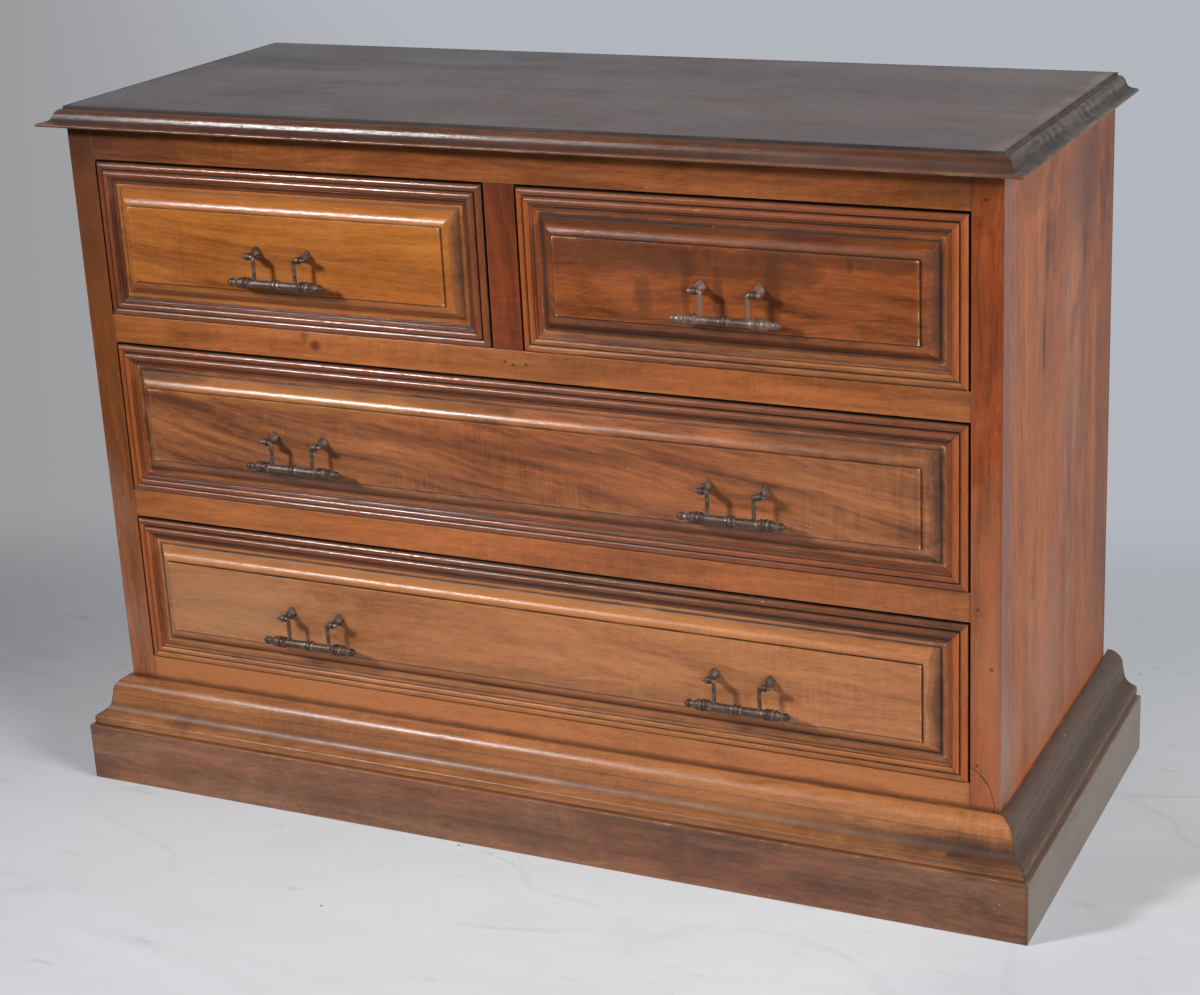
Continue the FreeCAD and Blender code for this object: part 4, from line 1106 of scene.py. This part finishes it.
class CHEST_OT_base(bpy.types.Operator):
    """Make the plinth boards and the ogee moulding on them"""
    bl_idname = "chest.base"
    bl_label = "Base"

    def execute(self, context):
        sizes = context.scene.chest_sizes
        low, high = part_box("plinth_front")
        deep = 0.05
        spots = front_spots(low.y, deep, (
            (SMOKE_AND_SHADE, -0.455, 0.086, 0.012, 0.012, 0.4, 1.6),
            (SMOKE_AND_SHADE, 0.0, 0.03, 0.5, 0.025, 0.35, 1.8),
            # The next three darken the ogee's lower cove and lip, most at the right end: painted shade in the
            # hollow, with a smoky stain.
            (SMOKE_AND_SHADE, 0.48, 0.092, 0.16, 0.014, 0.75, 1.2),
            (SMOKE_AND_SHADE, 0.1, 0.079, 0.6, 0.006, 0.5, 1.4),
            (SMOKE_AND_SHADE, 0.55, 0.084, 0.09, 0.018, 0.8, 1.0),
            (SMOKE_AND_SHADE, -0.59, 0.08, 0.06, 0.018, 0.7, 1.0),
            (SMOKE_AND_SHADE, -0.3, 0.1, 0.05, 0.03, 0.3, 1.6),
            (SMOKE_AND_SHADE, -0.59, 0.012, 0.04, 0.02, 0.6, 1.2)))
        spots.append((SOOT, (0.0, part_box("front_stile_left")[0].y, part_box("base_moulding_front")[1].z),
                      (3.0, 0.0035, 0.004), 0.9, 0.5))
        ogee = wood_material("base moulding wood", "base", streaks=0.5, patches=0.8, ripple=0.3, rough=0.33,
                             coat=0.2, coat_rough=0.22, marks=0.5, dirt_and_shade=1.5, spots=spots)
        board = wood_material("plinth wood", "plinth", streaks=0.5, patches=0.6, ripple=0.1, rough=0.38,
                              coat=0.2, coat_rough=0.25, marks=0.6, spots=spots)
        dull = wood_material("dull base wood", "dull", streaks=0.1, patches=0.25, ripple=0.0, rough=0.4,
                             coat=0.14, coat_rough=0.24, marks=0.9, ruddy=(0.12, 0.045, 0.02))
        # Greyed, and lighter towards the back: painted sheen on the grazing right board over brown wood.
        sheen_greyed = wood_material("ashen plinth wood", "sheen_greyed", streaks=0.4, patches=0.9, ripple=0.0, rough=0.4,
                              coat=0.35, coat_rough=0.28, marks=0.9, ruddy=(0.12, 0.06, 0.04))
        lengths = {"front": (ogee, (0.05, 0.15)), "left": (ogee, -0.1), "right": (dull, 0.0)}
        moulding_round_carcass("base_moulding", BASE_MOULDING, sizes.arris, "base_wood", 0.0, lengths)
        flank_low, flank_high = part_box("plinth_left")
        outline = rectangle(flank_high.x - flank_low.x, high.z - low.z)
        flank = (low.y, flank_high.y)
        for side, origin, axes, span, lean, wood, tone in (
                ("front", (0, low.y, low.z), (RIGHT, BACK, UP), (-high.x, high.x), (1, -1), board,
                 (0.1, -0.15)),
                ("left", (-high.x, 0, low.z), (BACK, RIGHT, UP), flank, (1, 0), board, 0.0),
                ("right", (high.x, 0, low.z), (BACK, LEFT, UP), flank, (1, 0), sheen_greyed, (0.1, 0.5))):
            carcass_length("plinth_" + side, "base_wood", wood, outline, sizes.heavy_arris, origin, axes,
                           span, lean, tone=tone)
        return {"FINISHED"}


class CHEST_OT_drawer_fronts(bpy.types.Operator):
    """Make the raised panels of the drawers and the mouldings round them"""
    bl_idname = "chest.drawer_fronts"
    bl_label = "Drawer fronts"

    def execute(self, context):
        radius = context.scene.chest_sizes.fine_arris
        woods = {
            "bead": wood_material("drawer moulding wood", "bead", streaks=0.35, patches=0.6, ripple=0.1,
                                  rough=0.3, coat=0.38, coat_rough=0.12, wear=0.9, dirt_and_shade=1.3, marks=0.7,
                                  bump=0.3),
            "upright": wood_material("upright drawer moulding wood", "upright", streaks=0.2, patches=0.5,
                                     ripple=0.0, rough=0.34, coat=0.15, wear=1.0, dirt_and_shade=0.7, marks=0.5,
                                     bump=0.35),
            "honey": wood_material("honey drawer moulding wood", "honey", streaks=0.6, patches=0.7,
                                   ripple=0.1, rough=0.42, coat=0.06, coat_rough=0.25, wear=0.8, dirt_and_shade=1.1,
                                   marks=0.5, bump=0.35, ruddy=(0.5, 0.15, 0.03)),
        }
        level_red, upright_red = 0.05, 0.3
        y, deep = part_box("top_left_drawer_front")[0].y, 0.05
        for drawer, panel in PANELS.items():
            wood = wood_material(drawer.replace("_drawer", "") + " panel wood", panel["wood"], rough=0.32,
                                 coat_rough=0.18, bump=0.45, spots=front_spots(y, deep, panel["stains_light_and_shade"]),
                                 **panel["finish"])
            low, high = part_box(drawer + "_front_moulding")
            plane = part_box(drawer + "_front")[1].y - FRONT_BACK * MM
            shells = Shells(drawer + "_panel_worn")
            add_ringed_board(shells, RAISED_PANEL, radius, (low.x, low.z), (high.x, high.z),
                             lambda a, b, h: np.stack([a, plane - h, b], -1),
                             panel["tone"], panel["red"], panel["slope"])
            shells.build(drawer, "drawer_front_wood", wood, [drawer + "_front"])
            lengths = ((*panel["upper"], level_red), (*panel["lower"], level_red),
                       (panel["upright"], 0.0, upright_red), (panel["upright"], 0.0, upright_red))
            self.make_mouldings(drawer, woods, lengths, low, high, plane, radius)
        return {"FINISHED"}

    def make_mouldings(self, drawer, woods, lengths, low, high, plane, radius):
        """Two level lengths and two upright ones, mitred. lengths are (wood, tone, redness)."""
        wide, tall = high.x - low.x, high.z - low.z
        places = (("top", (low.x, high.z), (RIGHT, DOWN, AHEAD), wide),
                  ("low", (low.x, low.z), (RIGHT, UP, AHEAD), wide),
                  ("left", (low.x, low.z), (UP, RIGHT, AHEAD), tall),
                  ("right", (high.x, low.z), (UP, LEFT, AHEAD), tall))
        for (name, (x, z), axes, length), (wood, tone, red) in zip(places, lengths):
            shells = Shells(drawer + "_" + name + "_beads")
            # rim darkens the moulding's outer side, down in the gap round the drawer: painted shade.
            add_member(shells, FRONT_MOULDING, radius, (x, plane, z), axes, (0, length), (1, -1),
                       tone=tone, red=red, rim=1.0)
            shells.build(drawer, "drawer_moulding_wood", woods[wood], [drawer + "_front_moulding"])


class CHEST_OT_handles(bpy.types.Operator):
    """Make the posts and the swinging bails of the drop handles"""
    bl_idname = "chest.handles"
    bl_label = "Handles"

    def execute(self, context):
        metal = metal_material()
        posts = {drawer: Shells(drawer + "_posts_cast") for drawer in DRAWERS}
        for handle, drawer in HANDLES.items():
            low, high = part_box(handle + "_bail")
            pivot = np.array([(low.x + high.x) / 2, (low.y + high.y) / 2, high.z - WIRE_RADIUS * MM])
            tone = RUBBED_TONE if handle == RUBBED_HANDLE else 0.0
            self.make_bail(handle, pivot, metal, tone)
            shank_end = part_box(drawer + "_handle_posts")[1].y
            for side in (-1, 1):
                eye = pivot + np.array([side * EYE_CENTRES / 2 * MM, 0, 0])
                self.add_post(posts[drawer], eye, shank_end, tone)
        for drawer, shells in posts.items():
            shells.build(drawer, "handle_iron", metal, [drawer + "_handle_posts"])
        dress([drawer + "_handle_nuts" for drawer in DRAWERS], metal)
        return {"FINISHED"}

    def make_bail(self, handle, pivot, metal, tone):
        """A turned bar with a wire arm at each side that bends outwards into its eye."""
        shells = Shells(handle + "_bail_cast")
        bar = pivot - np.array([0, 0, BAIL_DROP * MM])
        add_turned(shells, HANDLE_BAR, BAR_ARRIS, bar, tone)
        turn = np.linspace(0, math.pi / 2, 9)
        rise = np.stack([np.full(6, ARM_X), np.zeros(6), np.linspace(-BAIL_DROP, -WIRE_BEND, 6)], 1)[:-1]
        bend = np.stack([ARM_X + WIRE_BEND * (1 - np.cos(turn)), 0 * turn,
                         -WIRE_BEND * (1 - np.sin(turn))], 1)
        nub = np.sin(np.linspace(0, math.pi / 2, 7)) * WIRE_RADIUS
        tail = WIRE_END - WIRE_RADIUS + nub
        path = np.concatenate([rise, bend, np.stack([tail, 0 * tail, 0 * tail], 1)])
        ends = np.concatenate([np.full(len(rise) + len(bend), WIRE_RADIUS),
                               np.sqrt(np.maximum(WIRE_RADIUS ** 2 - nub ** 2, TIP ** 2))])
        for side in (-1, 1):
            add_tube(shells, path * (side, 1, 1) * MM, ends * MM, pivot, tone)
        shells.build(handle + "_handle", "handle_iron", metal, [handle + "_bail"], sharp=40)

    def add_post(self, shells, eye, shank_end, tone):
        """A post that narrows in straight lines from a pointed foot on the panel to the
        eye: rings of |x/a|^p + |z/b|^p = 1 whose half sizes a and b shrink evenly from
        the foot's rim to the neck while the power p grows from 1.3 to 2."""
        rim, neck_at, pointed, first_ring = 0.13, 0.85, 1.3, 0.94
        distance = np.array([0, 0.01, 0.09, rim, 0.15, 0.3, 0.5, 0.7, neck_at, 0.95])
        spread = np.clip(1 - (distance - rim) / (neck_at - rim), 0, 1)
        spread[0] *= first_ring
        power = pointed + (2 - pointed) * np.clip(distance / neck_at, 0, 1)
        reach = (EYE_STANDOFF - EYE_HALF_WIDTH) * MM
        neck = EYE_HALF_WIDTH * 0.9
        a = (neck + spread * (POST_HALF_WIDTH - neck)) * MM
        b = (neck + spread * (POST_HALF_HEIGHT - neck)) * MM
        around = 32
        cos, sin = circle(around)
        x = a[:, None] * np.sign(cos) * np.abs(cos) ** (2 / power[:, None])
        z = b[:, None] * np.sign(sin) * np.abs(sin) ** (2 / power[:, None])
        y = np.broadcast_to((EYE_STANDOFF * MM - distance * reach)[:, None], x.shape)
        wear = np.clip(spread, 0.1, 0.35)[:, None]
        shells.add(np.stack([x, y, z], -1).reshape(-1, 3) + eye, capped(len(distance), around), 0,
                   finish_values(x.shape, wear, 0.0, tone, 0))
        wide, hub, bend, sag = EYE_HALF_WIDTH, EYE_RADIUS, 1.4, 0.4
        boss = ((0, hub), [(wide - bend, hub), ((wide - sag, hub - sag), (wide, hub - bend)), (wide, TIP)])
        add_turned(shells, boss, EYE_ARRIS, eye, tone, around=24)
        around, buried = 16, 2.0
        y = np.array([(EYE_STANDOFF - buried) * MM, shank_end - eye[1]])
        x, z = (np.broadcast_to(SHANK_RADIUS * MM * v, (2, around)) for v in circle(around))
        ring = np.stack([x, np.broadcast_to(y[:, None], (2, around)), z], -1)
        shells.add(ring.reshape(-1, 3) + eye, capped(2, around), 0,
                   finish_values((2, around), 0.2, 0, 0, 0))


class CHEST_OT_inside(bpy.types.Operator):
    """Finish the bare wood of the drawer boxes, the back and the inside of the carcass"""
    bl_idname = "chest.inside"
    bl_label = "Inside and back"

    def execute(self, context):
        bare = context.scene.chest_colours.bare
        across = bare_material("bare wood, grain across", bare, "x")
        deep = bare_material("bare wood, grain front to back", bare, "y")
        ply = bare_material("plywood", [min(1, c * 1.15) for c in bare], "x")
        dress([drawer + "_sides" for drawer in DRAWERS] + ["drawer_runners", "drawer_guides"], deep)
        dress([drawer + "_back" for drawer in DRAWERS]
              + ["rear_rails", "plinth_back", "plinth_battens", "drawer_stops"], across)
        dress([drawer + "_bottom" for drawer in DRAWERS] + ["back_panel"], ply)
        return {"FINISHED"}


class CHEST_OT_stage(bpy.types.Operator):
    """Make the pale floor, the lamps, the world and the camera"""
    bl_idname = "chest.stage"
    bl_label = "Stage"

    def execute(self, context):
        self.make_floor(context.scene.chest_colours)
        self.make_lamps(context.scene.chest_light)
        self.make_world(context.scene)
        self.make_camera(context.scene)
        context.scene.view_settings.view_transform = "Standard"
        return {"FINISHED"}

    def make_floor(self, colours):
        """A disc of paper: rings of growing radius round the chest, all at height 0."""
        radius = np.concatenate([[0.01], np.linspace(0.4, 3.0, 12), [5.0, 9.0, 20.0]])[:, None]
        around = 64
        cos, sin = circle(around)
        points = np.stack([radius * cos, radius * sin, np.zeros((len(radius), around))], -1).reshape(-1, 3)
        mesh = bpy.data.meshes.new("paper_floor")
        faces = tube_faces(len(radius), around).tolist() + [list(range(around))]
        mesh.from_pydata(points.tolist(), [], faces)
        mesh.materials.append(self.paper(colours))
        floor = bpy.data.objects.new("paper_floor", mesh)
        bpy.context.scene.collection.objects.link(floor)

    def paper(self, colours):
        """Creased paper. In front, reflections and bounce light find the paper painted dark: painted
        shade for the dark room. The right front and the fold lines are painted darker, as painted
        shade. Behind, the camera and reflections find the backdrop, and far off the camera does;
        the backdrop is painted with shade towards its left."""
        material, w, shader = new_material("paper")
        place = w.place()
        x, y, _ = w.axes(place)
        ahead = w.length(w.vector("MULTIPLY", w.vector("SUBTRACT", place, (0.15, -0.35, 0)), (1, 1, 0)))
        rays = w.node("LightPath").outputs
        # In front, the paper is painted dark for every ray but the camera's: painted shade and a painted dark
        # reflection for the unlit room.
        edge = w.times(w.smooth(ahead, 0.9, 1.9), w.smooth(y, -0.2, 0.2, 1.0, 0.0))
        edge = w.times(edge, w.minus(1.0, rays["Is Camera Ray"]))
        colour = w.mix(edge, colours.floor, colours.room)
        cloudy = w.noise(place, (2.6, 2.6, 2.6), detail=5.0, rough=0.6)
        colour = w.mix(w.smooth(cloudy, 0.45, 0.75, 0.0, 0.16), colour, (0.42, 0.44, 0.49))
        smudge = w.smooth(w.noise(place, (9.0, 26.0, 9.0), detail=4.0, rough=0.7), 0.6, 0.8, 0.0, 0.5)
        colour = w.mix(smudge, colour, (0.36, 0.33, 0.3))
        speck = w.specks(place, 26.0, (0.025, 0.06), (0.9, 0.92), 0.8)
        colour = w.mix(speck, colour, (0.08, 0.06, 0.05))
        # Painted shade: the paper to the right front of the chest is darkened.
        right_front_shade = w.minus(x, w.times(y, 0.5))
        colour = w.mix(w.smooth(right_front_shade, 0.6, 0.8, 0.0, 0.45), colour, (0.46, 0.465, 0.485))
        crease = w.noise(place, (1.5, 3.0, 1.0), detail=3.0, warp=0.8)
        folds = w.noise(w.vector("ADD", place, (3.0, 1.0, 0.0)), (1.3, 2.9, 1.0), warp=0.5)
        fold = w.smooth(w.math("ABSOLUTE", w.minus(folds, 0.5)), 0.0, 0.018, 1.0, 0.0)
        fold = w.times(fold, w.smooth(cloudy, 0.42, 0.58))
        # Fold lines are painted a little darker: painted shade in the creases.
        colour = w.mix(w.times(fold, 0.12), colour, (0.35, 0.36, 0.38))
        normal = w.bump(0.45, 0.02, w.plus(crease, w.times(fold, 0.06)))
        w.fill(shader, {"Base Color": colour, "Normal": normal, "Roughness": 0.75,
                        "Specular IOR Level": 0.2})

        behind = w.minus(y, w.times(x, 0.3))
        # Painted shade: the backdrop darkens towards the left, where the chest shades it from the side lamp.
        sideways = w.plus(w.times(x, 4.6), w.times(y, 3.7))
        paint = w.mix(w.smooth(sideways, -6.0, 5.0), colours.backdrop_left, colours.backdrop)
        glow = w.node("Emission", {"Color": paint, "Strength": 1.0}).outputs[0]
        seen = w.math("MAXIMUM", rays["Is Camera Ray"], rays["Is Glossy Ray"])
        factor = w.times(w.smooth(behind, 0.35, 0.95), seen)
        far = w.smooth(w.length(place), 1.2, 2.4)
        factor = w.math("MAXIMUM", factor, w.times(far, rays["Is Camera Ray"]))
        mixed = w.node("MixShader", {0: factor, 1: shader.outputs[0], 2: glow}).outputs[0]
        w.fill(material.node_tree.nodes["Material Output"], {"Surface": mixed})
        return material

    def make_lamps(self, light):
        """A small lamp at the front left and a large soft one at the right, both aimed at
        the chest."""
        aim = Vector((0.1, -0.2, 0.5))
        for name, power, size, spread, place in (
                ("key lamp", light.key, 0.36, 64, (-1.5, -2.0, 1.8)),
                ("side lamp", light.side, 1.3, 180, (2.6, -0.95, 1.6))):
            lamp = bpy.data.lights.new(name, "AREA")
            lamp.shape = "SQUARE"
            lamp.size = size
            lamp.spread = math.radians(spread)
            lamp.energy = power
            holder = bpy.data.objects.new(name, lamp)
            holder.location = place
            holder.rotation_euler = (aim - Vector(place)).to_track_quat("-Z", "Y").to_euler()
            bpy.context.scene.collection.objects.link(holder)

    def make_world(self, scene):
        """Lights the chest from behind more than from the front, where the room is dark. The
        camera sees the pale backdrop all round."""
        light, backdrop = scene.chest_light, scene.chest_colours.backdrop
        world = bpy.data.worlds.new("pale studio")
        world.use_nodes = True
        w = Wiring(world.node_tree)
        toward = w.axes(w.node("TexCoord").outputs["Generated"])
        rays = w.node("LightPath").outputs
        seen = w.math("MAXIMUM", rays["Is Camera Ray"], rays["Is Glossy Ray"])
        pale = w.mix(seen, [light.world * c for c in (0.95, 0.97, 1.0)], backdrop)
        dim = [light.room * c for c in (1.0, 0.97, 0.95)]
        light_here = w.mix(w.smooth(toward[1], -0.35, 0.15), dim, pale)
        shown = w.mix(rays["Is Camera Ray"], light_here, backdrop)
        w.fill(world.node_tree.nodes["Background"], {"Color": shown, "Strength": 1.0})
        scene.world = world

    def make_camera(self, scene):
        """The camera stands at the front right and looks down. A level camera that looks
        along +Y is turned by yaw, pitch and roll, in that order; rows are its right, down
        and ahead."""
        pitch, yaw, roll = 0.3321, 0.4258, -0.04
        place = (1.1744, -2.3619, 1.2935)
        level = Matrix((RIGHT, DOWN, BACK))
        rows = Matrix.Rotation(roll, 3, "Z") @ Matrix.Rotation(pitch, 3, "X") @ Matrix.Rotation(yaw, 3, "Y")
        rows = rows @ level
        camera = bpy.data.cameras.new("camera")
        camera.lens = 71.75
        camera.sensor_width = 36.0
        camera.shift_x = -0.0668
        camera.shift_y = -0.0302
        holder = bpy.data.objects.new("camera", camera)
        axes = Matrix((rows[0], -rows[1], -rows[2])).transposed()
        holder.matrix_world = Matrix.Translation(place) @ axes.to_4x4()
        scene.collection.objects.link(holder)
        scene.camera = holder


class CHEST_PT_panel(bpy.types.Panel):
    """Lists the steps and settings in the sidebar"""
    bl_idname = "CHEST_PT_panel"
    bl_label = "Chest of drawers"
    bl_space_type = "VIEW_3D"
    bl_region_type = "UI"
    bl_category = "Chest"

    def draw(self, context):
        for operator in OPERATORS:
            self.layout.operator(operator.bl_idname)
        for group in (context.scene.chest_colours, context.scene.chest_sizes, context.scene.chest_light):
            column = self.layout.column()
            for name in group.__annotations__:
                column.prop(group, name)


OPERATORS = (CHEST_OT_top, CHEST_OT_sides, CHEST_OT_front_frame, CHEST_OT_base, CHEST_OT_drawer_fronts,
             CHEST_OT_handles, CHEST_OT_inside, CHEST_OT_stage)
CLASSES = (ChestColours, ChestSizes, ChestLight) + OPERATORS + (CHEST_PT_panel,)


def register():
    for cls in CLASSES:
        bpy.utils.register_class(cls)
    bpy.types.Scene.chest_colours = PointerProperty(type=ChestColours)
    bpy.types.Scene.chest_sizes = PointerProperty(type=ChestSizes)
    bpy.types.Scene.chest_light = PointerProperty(type=ChestLight)


def unregister():
    del bpy.types.Scene.chest_light, bpy.types.Scene.chest_sizes, bpy.types.Scene.chest_colours
    for cls in reversed(CLASSES):
        bpy.utils.unregister_class(cls)


def main():
    register()
    make_wood_group()
    make_wear_group()
    make_marks_group()
    make_stain_group()
    make_crack_group()
    for operator in OPERATORS:
        space, name = operator.bl_idname.split(".")
        getattr(getattr(bpy.ops, space), name)()


if __name__ == "__main__":
    main()
